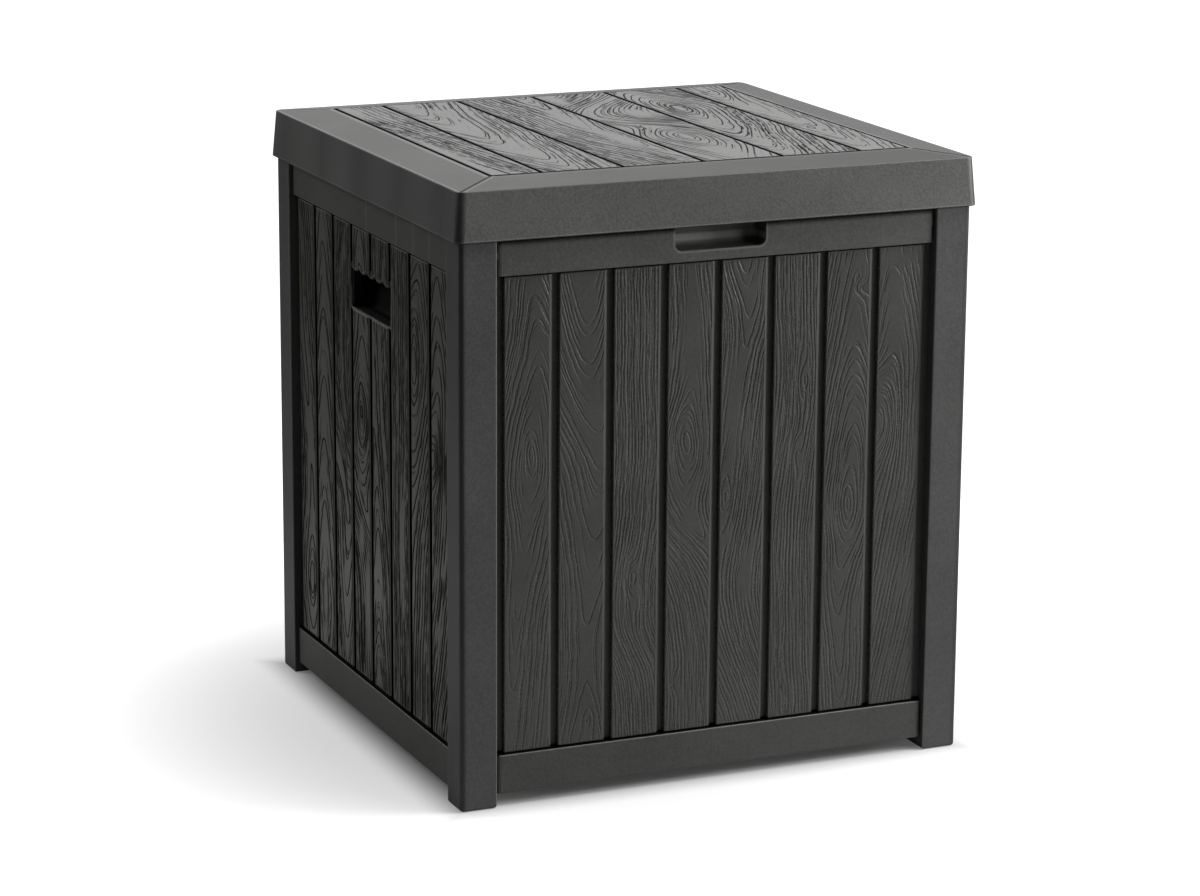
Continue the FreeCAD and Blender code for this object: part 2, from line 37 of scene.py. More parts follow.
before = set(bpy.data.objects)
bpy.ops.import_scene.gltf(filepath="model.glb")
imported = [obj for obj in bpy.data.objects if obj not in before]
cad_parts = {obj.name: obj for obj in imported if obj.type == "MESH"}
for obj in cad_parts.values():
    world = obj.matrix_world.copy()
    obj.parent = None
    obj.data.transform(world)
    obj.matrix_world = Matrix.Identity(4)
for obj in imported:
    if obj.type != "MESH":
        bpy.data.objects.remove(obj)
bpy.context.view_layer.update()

MM = 0.001

# Places on the chest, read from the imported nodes, in millimetres from the part's origin
POST_LOW, POST_HIGH = (np.array(corner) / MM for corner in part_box("corner_post_front_left"))
FRONT_LOW, FRONT_HIGH = (np.array(corner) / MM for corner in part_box("front_panel"))
LID_LOW, LID_HIGH = (np.array(corner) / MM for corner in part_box("lid_cover"))
CHEST_HALF_X = -POST_LOW[0]
CHEST_HALF_Y = -POST_LOW[1]
FRONT_OPENING = -2 * POST_HIGH[0]
SIDE_OPENING = -2 * POST_HIGH[1]
CHEST_TOP = FRONT_HIGH[2]
RAIL_FOOT = FRONT_LOW[2]
LID_TOP = LID_HIGH[2]
SKIRT_BOTTOM = LID_LOW[2]

# Finger recess of the front rail, and painted highlight lines across the side walls' top rails
# along Y, in millimetres
RECESS_WIDTH = 98.5
RECESS_DROP = 25.0
RECESS_RADIUS = 7.5
RAIL_LINES = (1.5, -85.0, -133.0, -178.0)

# The gaps at the planks' ends are this much wider on the side walls
SIDE_GAP = 1.5


# Settings


def metres(name, default, description):
    """Setting in metres"""
    return FloatProperty(name=name, description=description, default=default, unit="LENGTH")


def paint(name, default, description):
    """Setting of a colour"""
    return FloatVectorProperty(name=name, description=description, default=default,
                               subtype="COLOR", size=3, min=0, max=1)


def degrees(name, default, description):
    """Setting of an angle, its default in degrees"""
    return FloatProperty(name=name, description=description, default=math.radians(default),
                         subtype="ANGLE")


def watts(name, default, description):
    """Setting in watts"""
    return FloatProperty(name=name, description=description, default=default, unit="POWER")


class PlankSettings(bpy.types.PropertyGroup):
    """Sizes of the grained planks"""
    count: IntProperty(name="Planks a side", description="Planks on each wall", default=8, min=1)
    setback: metres("Face setback", 0.008, "How far a plank's face lies behind the posts' faces")
    rail_setback: metres("Rail setback", 0.004,
                         "How far a rail's face lies behind the posts' faces")
    groove: metres("Groove", 0.0084, "Width of the groove between two planks")
    strip: metres("End strip", 0.0105, "Width of the strip between a post and the first plank")
    proud: metres("Skin", 0.0009, "How far the grained skin stands out from the plain plank")
    edge: metres("Edge radius", 0.0014, "Rounding along a plank's long edges")
    shoulder: metres("Shoulder", 0.0026, "Width of the plain shoulder along one edge of a plank")
    end_edge: metres("End radius", 0.0011, "Rounding of a plank's two ends")
    # The gap's darkness is painted shade in the walls' material
    end_gap: metres("End gap", 0.0017, "Dark gap between a plank's end and its rail")
    bottom_rail: metres("Bottom rail", 0.040, "Height of the bottom rail")
    top_rail: metres("Top rail", 0.0595, "Height of the top rail")
    across: metres("Mesh step across", 0.00060, "Distance between points across a plank")
    along: metres("Mesh step along", 0.0010, "Distance between points along a plank")


class LidPlankSettings(bpy.types.PropertyGroup):
    """Sizes of the grained planks on the lid"""
    count: IntProperty(name="Planks", description="Planks on the lid", default=6, min=1)
    pitch: metres("Pitch", 0.087, "Distance between two seams of the lid")
    seam: metres("Seam", 0.0028, "Width of the seam between two planks")
    side_frame: metres("Side frame", 0.050, "Width of the frame beside the planks")
    front_frame: metres("Front frame", 0.0455, "Width of the frame in front of the planks")
    back_frame: metres("Back frame", 0.0485, "Width of the frame behind the planks")
    lean: metres("Skirt lean", 0.0036, "How far the skirt leans in from its lower edge")
    proud: metres("Skin", 0.0004, "How far the grained skin stands out from the plain plank")
    across: metres("Mesh step across", 0.00070, "Distance between points across a plank")
    along: metres("Mesh step along", 0.0012, "Distance between points along a plank")


class GripSettings(bpy.types.PropertyGroup):
    """Sizes of the hand holes' rims"""
    width: metres("Width", 0.1155, "Width of a hand hole")
    height: metres("Height", 0.0445, "Height of a hand hole at the ends of its scallops")
    drop: metres("Drop", 0.045, "Distance from the top rail down to a hand hole")
    scallops: IntProperty(name="Scallops", description="Finger scallops", default=5, min=1)
    scallop: metres("Scallop depth", 0.0045, "How far a scallop hangs into the hole")
    lip: metres("Lip radius", 0.0009, "Radius of the rounded lip round a hand hole")
    collar: metres("Collar setback", 0.0090,
                   "How far the hole's collar lies behind the posts' faces")


class FinishSettings(bpy.types.PropertyGroup):
    """Colours and gloss of the chest's materials"""
    wall: paint("Walls", (0.047, 0.047, 0.0435), "Colour of the walls")
    post: paint("Posts", (0.055, 0.055, 0.054), "Colour of the posts")
    lid: paint("Lid", (0.082, 0.082, 0.0795), "Colour of the lid")
    inner: paint("Inner parts", (0.055, 0.055, 0.054),
                  "Colour of the floor, the liner and the cups")
    hinge: paint("Hinges", (0.03, 0.03, 0.03), "Colour of the hinges")
    steel: paint("Steel", (0.56, 0.56, 0.55), "Colour of the screws and pins")
    roughness: FloatProperty(name="Roughness", subtype="FACTOR", min=0, max=1, default=0.48,
                             description="Roughness of the smooth resin")


class StudioSettings(bpy.types.PropertyGroup):
    """Camera, floor and lamps"""
    lens: FloatProperty(name="Lens", unit="CAMERA", default=114.2, description="Focal length")
    eye: FloatVectorProperty(name="Camera place", subtype="TRANSLATION", size=3, unit="LENGTH",
                             default=(-1.5862, -3.6031, 1.2690),
                             description="Where the camera stands")
    yaw: degrees("Yaw", 23.599, "Turn of the camera from straight back to the right")
    pitch: degrees("Pitch", 14.035, "How far the camera looks down")
    roll: degrees("Roll", 0.371, "Tilt of the camera about its line of sight")
    key: watts("Key lamp", 262.0, "Power of the large lamp high at the right")
    front: watts("Front lamp", 18.5, "Power of the lamp at the front that mirrors don't show")
    side: watts("Side lamp", 19.5, "Power of the small low lamp that grazes the front")
    left: watts("Left lamp", 11.5, "Power of the weak lamp behind the left side")
    world: FloatProperty(name="World", default=0.09, min=0,
                         description="Strength of the surroundings as a light")
    dark: FloatProperty(name="Dark side", default=0.02, min=0,
                        description="What smooth surfaces mirror away from the backdrop")
    backdrop: FloatVectorProperty(name="Backdrop", subtype="DIRECTION", size=3,
                                  default=(0.32, 0.86, 0.38),
                                  description="Direction in which the white backdrop stands")


# Noise


def lattice(ix, iy, seed):
    """Repeatable number from 0 to 1 at a whole lattice point: the fraction of a large sine"""
    h = np.sin(ix * 127.1 + iy * 311.7 + seed * 74.7) * 43758.5453
    return h - np.floor(h)


def value_noise(x, y, seed):
    """Smooth noise from 0 to 1: the four lattice numbers round a point, blended by t*t*(3-2t)"""
    ix, iy = np.floor(x), np.floor(y)
    tx, ty = x - ix, y - iy
    tx = tx * tx * (3 - 2 * tx)
    ty = ty * ty * (3 - 2 * ty)
    low = lattice(ix, iy, seed) * (1 - tx) + lattice(ix + 1, iy, seed) * tx
    high = lattice(ix, iy + 1, seed) * (1 - tx) + lattice(ix + 1, iy + 1, seed) * tx
    return low * (1 - ty) + high * ty


def smooth_step(low, high, x):
    """0 below low, 1 above high, and t*t*(3-2t) between them"""
    t = np.clip((x - low) / (high - low), 0, 1)
    return t * t * (3 - 2 * t)


# Wood figure


class Figure(NamedTuple):
    """One plank's figure, in millimetres across and along the plank.

    centre and climb are tables of (along, value). A knot is (across, along, radius across,
    radius along, height, tilt), and a calm area is (across, along, radius across, radius
    along). pitch is the distance between two rings and tip the radius of their crests. legs,
    streaks, twin and broken are shares from 0 to 1 of lines beside the crests, of fine
    streaks, of doubled lines and of gaps in a line. bold widens the lines, wide widens them
    where they run across, depth is how deep they are cut, and fine is the distance between
    the lines in the streaks."""
    seed: int
    centre: tuple
    climb: tuple
    knots: tuple = ()
    calm: tuple = ()
    pitch: float = 4.2
    tip: float = 14.0
    legs: float = 0.8
    streaks: float = 0.4
    twin: float = 0.25
    bold: float = 1.15
    depth: float = 0.72
    wide: float = 0.0
    fine: float = 2.7
    broken: float = 0.28


def table_curve(table, v):
    """Smooth curve through a table: cubic Hermite spans whose slopes are the mean of the
    slopes on both sides"""
    at, value = np.array(table, float).T
    slope = np.gradient(value, at)
    i = np.clip(np.searchsorted(at, v) - 1, 0, len(at) - 2)
    span = at[i + 1] - at[i]
    t = np.clip((v - at[i]) / span, 0, 1)
    rise = t * t * (3 - 2 * t)
    bend = (t * (1 - t) ** 2 * slope[i] - t * t * (1 - t) * slope[i + 1]) * span
    return value[i] + (value[i + 1] - value[i]) * rise + bend


def ellipse_distance(u, v, middle_u, middle_v, radius_u, radius_v, tilt=0.0):
    """Squared distance from the middle of an ellipse that leans by its tilt, in its radii"""
    down = v - middle_v
    return ((u - middle_u - tilt * down) / radius_u) ** 2 + (down / radius_v) ** 2


def ring_field(u, v, wood):
    """Distance of each point from the log's heart, in millimetres.

    It is the root of the squared distance from the centre line and the squared tip radius,
    plus the climb along the plank, plus a bell for each knot, plus warps that are weaker at
    the crests, where the lines lie far apart."""
    seed = wood.seed
    centre = table_curve(wood.centre, v) + 4 * (value_noise(v / 60, v * 0, seed) - 0.5)
    field = np.sqrt((u - centre) ** 2 + wood.tip ** 2) + table_curve(wood.climb, v)
    for knot_u, knot_v, radius_u, radius_v, height, tilt in wood.knots:
        away = ellipse_distance(u, v, knot_u, knot_v, radius_u, radius_v, tilt)
        field = field + height * np.exp(-away)
    field = field + 1.8 * (value_noise(u / 20, v / 50, seed + 1) - 0.5)
    beside = 0.3 + 0.7 * smooth_step(0.2, 1.2, np.abs(u - centre) / wood.tip)
    quick = 0.9 * (value_noise(u / 6, v / 13, seed + 2) - 0.5)
    quick = quick + 0.35 * (value_noise(u / 2, v / 5, seed + 9) - 0.5)
    return field + quick * beside


def ring_lines(field, pitch, u, v, seed, half_width, broken, legs, dash, wide=0.0):
    """Lines where field/pitch, unevenly stretched, is a whole number, and their strength.

    The distance from a line in millimetres is the phase over the length of its gradient. Some
    lines go all the way round, the others only show on the steep legs beside the crests, and
    every line fades in and out along its length. wide is how much wider a line is where it
    runs across the plank."""
    phase = field / pitch
    phase = phase + 0.5 * value_noise(phase / 1.7, phase * 0, seed + 3)
    slope_v, slope_u = np.gradient(phase)
    slope_v = slope_v / np.gradient(v[:, :1], axis=0)
    slope_u = slope_u / np.gradient(u[:1, :], axis=1)
    number = np.round(phase)
    reach = (phase - number) / np.maximum(np.hypot(slope_u, slope_v), 0.02)
    reach = reach + 0.30 * (value_noise(u / 1.8, v / 4, seed + 4) - 0.5)
    own = lattice(number, 0 * number, seed + 5)
    main = smooth_step(0.26, 0.36, own)
    steep = smooth_step(0.30, 0.75, np.abs(slope_u) * pitch)
    strength = np.maximum(main, legs * steep * smooth_step(0.0, 0.1, own))
    fade = value_noise(v / dash + number * 3.7, u / 25 + number * 1.9, seed + 6)
    strength = strength * smooth_step(broken - 0.15, broken + 0.12, fade)
    crest = slope_v ** 2 / np.maximum(slope_u ** 2 + slope_v ** 2, 1e-6)
    return strength * (1 - smooth_step(0.30, 1.0, np.abs(reach) / (half_width * (1 + wide * crest))))


def wood_grain(u, v, wood):
    """Relief in millimetres and a line strength from 0 to 1 for the same points, which the plank's
    material turns into painted light or painted shade.

    The cut is the strongest of the main lines, of twin lines that lie 0.36 of a pitch beside
    them and of fine lines inside noisy bands of the field, and it fades in the calm areas. The
    relief is a slow swell less the depth times the cut."""
    seed, pitch, wide = wood.seed, wood.pitch, wood.wide
    main_half, twin_half, fine_half = 0.72 * wood.bold, 0.62 * wood.bold, 0.27 * wood.fine
    main_dash, twin_dash, fine_dash = 34, 16, 9
    field = ring_field(u, v, wood)
    lines = ring_lines(field, pitch, u, v, seed, main_half, wood.broken, wood.legs, main_dash, wide)
    twin = ring_lines(field + 0.36 * pitch, pitch, u, v, seed + 11, twin_half, 0.80 - wood.twin,
                      0.6, twin_dash, wide)
    band = value_noise(field / 9, v / 130, seed + 7)
    band = smooth_step(0.70 - 0.6 * wood.streaks, 0.82 - 0.45 * wood.streaks, band)
    fine = ring_lines(field, wood.fine, u, v, seed + 21, fine_half, 0.42, 1.0, fine_dash) * band
    keep = np.ones_like(u)
    for calm in wood.calm:
        keep = keep * (1 - np.exp(-ellipse_distance(u, v, *calm) ** 2))
    cut = np.maximum(np.maximum(lines, 0.9 * twin), 0.85 * fine) * keep
    swell = 0.03 * (value_noise(u / 9, v / 45, seed + 8) - 0.5) * keep
    return swell - wood.depth * cut, cut


# Figures of the wall planks from the left or the rear, along them from the top, and of the lid
# planks from the left, along them from the front

FRONT_FIGURES = (
    Figure(11, ((0, 28), (60, 35), (120, 36), (170, 31), (250, 26), (330, 14), (485, 4)),
           ((0, 30), (165, 2), (200, 0), (255, 8), (485, 20)), ((29, 180, 6, 20, -8, 0.1),),
           calm=((16, 300, 7, 34),), streaks=0.3, tip=12, pitch=4.3),
    Figure(12, ((0, 31), (110, 33), (200, 44), (300, 36), (400, 30), (485, 31)),
           ((0, 0), (436, 84), (485, 76)), ((33, 460, 6, 13, -8, 0),), tip=13,
           streaks=0.12, calm=((40, 135, 12, 24),), pitch=5.2, twin=0.35),
    Figure(13, ((0, -40), (250, -36), (370, -42), (430, -22), (485, -18)), ((0, 0), (485, 4)),
           ((20, 316, 6, 20, 9, 0), (30, 345, 9, 20, -5, 0)), streaks=0.9, legs=1.0, pitch=3.2),
    Figure(14, ((0, 25), (130, 26), (185, 22), (260, 27), (305, 56), (420, 74), (485, 70)),
           ((0, 14), (130, 8), (185, 0), (265, 14), (330, 24), (485, 34)),
           ((22, 183, 9, 24, -10, 0.2), (11, 432, 5, 12, -6, 0)), pitch=3.9,
           calm=((26, 72, 12, 56), (26, 268, 14, 12)), tip=10),
    Figure(15, ((0, 27), (70, 27), (140, 18), (230, 8), (330, -5), (485, -12)),
           ((0, 0), (75, 12), (140, 16), (240, 14), (330, 18), (485, -34)),
           ((9, 246, 4, 11, -6, 0),), calm=((14, 150, 8, 60), (30, 330, 8, 30)), tip=8,
           streaks=0.55, pitch=3.8),
    Figure(16, ((0, -30), (150, -22), (250, -34), (485, -30)), ((0, 0), (485, 8)),
           ((30, 130, 6, 32, 8, 0), (26, 206, 5, 20, 7, 0)), streaks=0.6, pitch=3.5),
    Figure(17, ((0, 34), (70, 33), (190, 36), (270, 30), (330, 22), (485, 24)),
           ((0, 34), (60, 28), (215, 2), (270, 0), (310, 8), (485, 22)),
           ((29, 266, 7, 24, -8, 0.05), (40, 42, 8, 9, 5, 0)), streaks=0.3, pitch=4.3),
    Figure(18, ((0, 17), (120, 17), (190, 2), (260, -12), (485, -60)),
           ((0, 34), (140, 10), (190, 0), (485, -6)), ((2, 178, 20, 40, -30, 0),)),
)

side_figure = partial(Figure, depth=0.45, bold=2.6, wide=-0.5, legs=0.7, fine=4.2, broken=0.18)
streaky_figure = partial(Figure, depth=0.45, bold=2.1, fine=3.8, streaks=0.9)

SIDE_FIGURES = (
    side_figure(31, ((0, -20), (120, 0), (250, 30), (485, 32)),
                ((0, 0), (340, 8), (420, 0), (485, 12)), ((32, 420, 6, 14, -8, 0),), streaks=0.35,
                pitch=6.4),
    side_figure(32, ((0, 20), (200, 21), (485, 20)), ((0, 84), (375, 8), (430, 0), (485, 6)),
                ((20, 430, 7, 34, -6, 0),), tip=12, legs=0.6, streaks=0.1, pitch=7.4, bold=2.7),
    streaky_figure(33, ((0, -30), (220, -22), (300, 32), (400, 30), (485, 28)),
                   ((0, 0), (300, 6), (485, 30)), ((36, 275, 6, 26, 6, 0.1),), tip=12, pitch=5.6,
                   wide=-0.4),
    side_figure(34, ((0, 20), (150, 28), (240, 24), (290, 30), (330, 58), (485, 72)),
                ((0, 44), (150, 14), (195, 0), (290, 28), (485, 54)), ((23, 190, 8, 30, -10, 0.1),),
                calm=((40, 400, 8, 60), (22, 330, 7, 20)), streaks=0.3, pitch=6.4),
    streaky_figure(35, ((0, -10), (200, 4), (300, 14), (485, 15)), ((0, 30), (250, 26), (485, -6)),
                   streaks=0.7, tip=10, pitch=6.0, bold=2.3, wide=-0.4, fine=4.0),
    streaky_figure(36, ((0, -50), (485, -42)), ((0, 0), (485, 8)), ((26, 300, 7, 70, 7, 0),),
                   calm=((26, 310, 5, 70),), pitch=5.4),
    side_figure(37, ((0, 22), (100, 10), (250, 2), (330, -10), (485, -22)),
                ((0, 32), (100, 0), (260, 40), (485, 44)), ((10, 105, 9, 36, -10, 0),),
                streaks=0.25, pitch=6.6),
    side_figure(38, ((0, 15), (140, 15), (200, 0), (290, -14), (485, -66)),
                ((0, 40), (150, 8), (200, 0), (485, -6)), ((6, 196, 18, 30, -22, 0),),
                streaks=0.3, pitch=6.6),
)

lid_figure = partial(Figure, depth=0.4, bold=1.25, wide=0.1, legs=0.7, fine=4.8, broken=0.12)

LID_FIGURES = (
    lid_figure(51, ((0, 10), (120, -4), (300, -20), (451, -30)), ((0, 0), (451, 6)), pitch=6.6,
               calm=((4, 120, 7, 130), (6, 420, 10, 60), (50, 60, 5, 60)), streaks=0.75, twin=0.2,
               legs=0.8),
    lid_figure(52, ((0, 33), (90, 27), (200, 22), (300, 16), (451, 20)), ((0, 80), (451, 0)),
               pitch=7.6, legs=0.6, streaks=0.05, twin=0.3, calm=((38, 370, 12, 36),), bold=1.3),
    lid_figure(53, ((0, 84), (100, 70), (205, 57), (320, 66), (451, 72)), ((0, 44), (451, 0)),
               pitch=6.6, tip=8, streaks=0.55, twin=0.2, calm=((62, 160, 12, 60), (60, 280, 10, 60))),
    lid_figure(54, ((0, 40), (150, 44), (220, 34), (270, -14), (451, 6)),
               ((0, 30), (150, 0), (240, 30), (451, -46)), ((44, 150, 26, 58, -12, 0),),
               calm=((44, 36, 17, 46), (60, 300, 16, 34), (12, 410, 10, 40)), pitch=6.8,
               streaks=0.15, bold=1.3),
    lid_figure(55, ((0, 10), (120, 14), (250, 24), (315, 28), (451, 20)),
               ((0, 58), (250, 8), (315, 0), (451, 32)), ((28, 315, 14, 40, -14, 0.1),),
               calm=((14, 205, 9, 30), (20, 90, 8, 26)), pitch=6.4, streaks=0.35),
    lid_figure(56, ((0, 12), (60, 15), (250, 21), (340, 14), (451, 22)), ((0, 66), (451, 0)),
               ((17, 150, 6, 18, 9, 0), (22, 400, 12, 34, -12, 0)), pitch=7.0, tip=10, streaks=0.12,
               twin=0.3, calm=((18, 110, 8, 16), (18, 190, 8, 16), (14, 300, 8, 30)), bold=1.3,
               legs=0.65),
)


# Meshes


def put_mesh(name, points, quads, triangles, painted_grain_light, material, body):
    """Makes a piece from whole arrays of points in metres and lets it ride on its body"""
    mesh = bpy.data.meshes.new(name)
    mesh.vertices.add(len(points))
    mesh.vertices.foreach_set("co", points.astype(np.float32).ravel())
    corners = np.concatenate([quads.ravel(), triangles.ravel()]).astype(np.int32)
    mesh.loops.add(len(corners))
    mesh.loops.foreach_set("vertex_index", corners)
    starts = np.concatenate([np.arange(len(quads)) * 4,
                             len(quads) * 4 + np.arange(len(triangles)) * 3])
    mesh.polygons.add(len(starts))
    mesh.polygons.foreach_set("loop_start", starts.astype(np.int32))
    mesh.polygons.foreach_set("use_smooth", np.ones(len(starts), bool))
    mesh.update(calc_edges=True)
    if painted_grain_light is not None:
        # Share of painted light or shade for the plank materials
        layer = mesh.attributes.new("grain", "FLOAT", "POINT")
        layer.data.foreach_set("value", painted_grain_light.astype(np.float32).ravel())
    mesh.validate()
    mesh.materials.append(material)
    piece = bpy.data.objects.new(name, mesh)
    bpy.context.scene.collection.objects.link(piece)
    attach(piece, body)
    return piece


def tube_faces(rows, columns, flip):
    """Quads of a grid that closes on itself across, and the two fans that close its ends"""
    r = np.arange(rows - 1)[:, None]
    c = np.arange(columns)[None, :]
    d = (c + 1) % columns
    quads = np.stack([r * columns + c, r * columns + d, (r + 1) * columns + d,
                      (r + 1) * columns + c], -1).reshape(-1, 4)
    first, last = rows * columns, rows * columns + 1
    c, d = c[0], d[0]
    base = (rows - 1) * columns
    start = np.stack([np.full(columns, first), d, c], -1)
    end = np.stack([np.full(columns, last), base + c, base + d], -1)
    triangles = np.concatenate([start, end])
    if flip:
        quads, triangles = quads[:, ::-1], triangles[:, ::-1]
    return quads, triangles


class Skin(NamedTuple):
    """Shape of a plank's skin in millimetres: radius of its long edges and of its ends, width of
    its plain shoulder, how far it stands out, how far its hidden rim is sunk and tucked in, and
    the distance between its points across and along"""
    edge: float
    end_edge: float
    shoulder: float
    proud: float
    sunk: float
    tuck: float
    across: float
    along: float


def skin_outline(width, skin):
    """Cross-section of a plank's skin: across, out from the plain face, and share of relief.

    It runs up the left flank, round a quarter turn, over the face, down a step onto the
    shoulder along its right edge, round the other quarter turn, down the right flank and
    back inside the wall. Without a shoulder both edges are alike."""
    turn = np.linspace(0, math.pi / 2, 5)
    half, edge, proud = width / 2, skin.edge, skin.proud
    columns = max(8, int(width / skin.across))
    flank, step_width = 2 + len(turn), 0.7
    ledge, right_edge, brink, step = proud, edge, half - edge, np.zeros(0)
    if skin.shoulder > 0:
        ledge, right_edge, brink, step = 0.12, 0.6, half - skin.shoulder, np.array([0, 0.5, 1.0])
    left_x = -half + edge * (1 - np.cos(turn))
    left_h = proud - edge * (1 - np.sin(turn))
    right_x = half - right_edge * (1 - np.cos(turn[::-1]))
    right_h = ledge - right_edge * (1 - np.sin(turn[::-1]))
    face_x = np.linspace(-half + edge, brink, columns)[1:-1]
    across = np.concatenate([[-half + skin.tuck, -half], left_x, face_x,
                             brink + step_width * step, right_x, [half, half - skin.tuck]])
    out = np.concatenate([[-skin.sunk, -skin.sunk], left_h, np.full(len(face_x), proud),
                          proud + (ledge - proud) * step, right_h, [-skin.sunk, -skin.sunk]])
    share = np.concatenate([np.zeros(flank), np.ones(len(face_x)), np.zeros(len(step) + flank)])
    share[flank - 1] = 0.5
    return across, out, share


def end_steps(length, step, radius):
    """Distances along a plank with closer rows inside its rounded ends"""
    ends = radius * np.array([0, 0.12, 0.35, 0.7, 1.0])
    middle = np.linspace(radius, length - radius, max(2, int((length - 2 * radius) / step)))
    return np.concatenate([ends[:-1], middle, length - ends[:-1][::-1]])


def straight(distance):
    """End of a skin that runs straight across its plank"""
    return lambda across: np.full_like(across, distance)


def plank_skin(name, wood, middle, width, begin, stop, skin, axes, material, body):
    """Grained skin over one plank: a cross-section carried along it, dropped by a quarter
    turn at its ends, with the wood's relief added on its face.

    begin and stop are functions of the distance across that give where the skin's ends are."""
    across, out, share = skin_outline(width, skin)
    begin, stop = begin(middle + across), stop(middle + across)
    length = float((stop - begin).max())
    steps = end_steps(length, skin.along, skin.end_edge)
    v = begin[None, :] + (stop - begin)[None, :] * (steps / length)[:, None]
    u = np.broadcast_to(across[None, :] + width / 2, v.shape)
    relief, dark = wood_grain(u, v, wood)
    nearest = np.minimum(steps, length - steps)
    inside = np.maximum(skin.end_edge - nearest, 0)
    drop = skin.end_edge - np.sqrt(np.maximum(skin.end_edge ** 2 - inside ** 2, 0))
    share = share[None, :] * smooth_step(0.3 * skin.end_edge, 1.6 * skin.end_edge, nearest)[:, None]
    raised = out[None, :] + relief * share
    lowest = 0.05 - skin.sunk
    raised = np.where(out[None, :] > -skin.sunk, np.maximum(raised - drop[:, None], lowest), raised)
    origin, way_across, way_along, way_out = axes
    grid = (origin + (middle + across)[None, :, None] * way_across + v[:, :, None] * way_along
            + raised[:, :, None] * way_out)
    points = np.concatenate([grid.reshape(-1, 3), [grid[0].mean(0), grid[-1].mean(0)]]) * MM
    flip = np.dot(np.cross(way_across, way_along), way_out) < 0
    quads, triangles = tube_faces(len(steps), len(across), flip)
    # Share of painted light or shade: the grain's lines on the face, and the flanks that fall into
    # the grooves
    flank = 1 - smooth_step(-0.35, 0.12, raised)
    painted_grain_light = np.concatenate([np.maximum(dark * share, flank).ravel(), [1, 1]])
    return put_mesh(name, points, quads, triangles, painted_grain_light, material, body)


# Places that shapes and materials share


def plank_levels(sizes):
    """Foot and head of the walls' planks, in metres"""
    return RAIL_FOOT * MM + sizes.bottom_rail, CHEST_TOP * MM - sizes.top_rail


def lid_field(sizes):
    """Half width and half depth of the lid's top, then the half width, the front and the back
    of the field of planks on it, in metres"""
    half_x, half_y = LID_HIGH[0] * MM - sizes.lean, LID_HIGH[1] * MM - sizes.lean
    return (half_x, half_y, half_x - sizes.side_frame, sizes.front_frame - half_y,
            half_y - sizes.back_frame)


# Values that vary over a surface


class Value:
    """One output of a node, to be worked with like a number: every sum, comparison or change
    of range written with it adds a node. Distances and widths are in metres"""

    def __init__(self, tree, output):
        self.tree = tree
        self.output = output

    def __abs__(self):
        return calculate("ABSOLUTE", self)

    def __add__(self, other):
        return calculate("ADD", self, other)

    def __radd__(self, other):
        return calculate("ADD", other, self)

    def __sub__(self, other):
        return calculate("SUBTRACT", self, other)

    def __rsub__(self, other):
        return calculate("SUBTRACT", other, self)

    def __mul__(self, other):
        return calculate("MULTIPLY", self, other)

    def __truediv__(self, other):
        return calculate("DIVIDE", self, other)

    def __gt__(self, other):
        return calculate("GREATER_THAN", self, other)

    def __lt__(self, other):
        return calculate("LESS_THAN", self, other)

    def remap(self, low, high, to_low=0.0, to_high=1.0):
        """The value carried from one range to another, smooth at both ends"""
        node = self.tree.nodes.new("ShaderNodeMapRange")
        node.interpolation_type = "SMOOTHSTEP"
        for socket, value in zip(node.inputs[:5], (self, low, high, to_low, to_high)):
            connect(socket, value)
        return Value(self.tree, node.outputs[0])

    def spread(self, to_low, to_high):
        """Noise carried from the range where most of it lies to another range"""
        return self.remap(0.3, 0.7, to_low, to_high)

    def near(self, middle, half_width):
        """1 where the value is at the middle, falling to 0 at half a width from it"""
        return abs(self - middle).remap(0.3 * half_width, half_width, 1.0, 0.0)

    def split(self):
        """The three parts of a vector"""
        node = self.tree.nodes.new("ShaderNodeSeparateXYZ")
        connect(node.inputs[0], self)
        return [Value(self.tree, output) for output in node.outputs]

    def noise(self, scale, detail=2.0, stretch=(1, 1, 1)):
        """Noise from 0 to 1 at a place, its scale per metre, stretched along the axes"""
        mapping = self.tree.nodes.new("ShaderNodeMapping")
        mapping.inputs["Scale"].default_value = stretch
        connect(mapping.inputs["Vector"], self)
        node = self.tree.nodes.new("ShaderNodeTexNoise")
        node.inputs["Scale"].default_value = scale
        node.inputs["Detail"].default_value = detail
        self.tree.links.new(mapping.outputs[0], node.inputs["Vector"])
        return Value(self.tree, node.outputs["Fac"])


def connect(socket, value):
    """Links a socket to a value, or sets its number or colour"""
    if isinstance(value, Value):
        value.tree.links.new(value.output, socket)
    else:
        socket.default_value = value


def calculate(operation, *values):
    """Result of a Math node, put in the tree of the first value that has one"""
    tree = next(value.tree for value in values if isinstance(value, Value))
    node = tree.nodes.new("ShaderNodeMath")
    node.operation = operation
    for socket, value in zip(node.inputs, values):
        connect(socket, value)
    return Value(tree, node.outputs[0])


def largest(*values):
    """The larger of two values"""
    return calculate("MAXIMUM", *values)


def vector_node(operation, output, first, second=None):
    """Result of a Vector Math node of a vector and a second vector or a scale"""
    tree = next(value.tree for value in (first, second) if isinstance(value, Value))
    node = tree.nodes.new("ShaderNodeVectorMath")
    node.operation = operation
    connect(node.inputs[0], first)
    if second is not None:
        connect(node.inputs["Scale" if operation == "SCALE" else 1], second)
    return Value(tree, node.outputs[output])


def tint(colour, brightness):
    """A colour multiplied by a brightness"""
    return vector_node("SCALE", "Vector", colour, brightness)


def light_paths(tree):
    """1 for the camera's rays, and 1 for the rays of mirrors and glass"""
    path = tree.nodes.new("ShaderNodeLightPath").outputs
    return (Value(tree, path["Is Camera Ray"]),
            largest(Value(tree, path["Is Glossy Ray"]), Value(tree, path["Is Transmission Ray"])))


# Materials


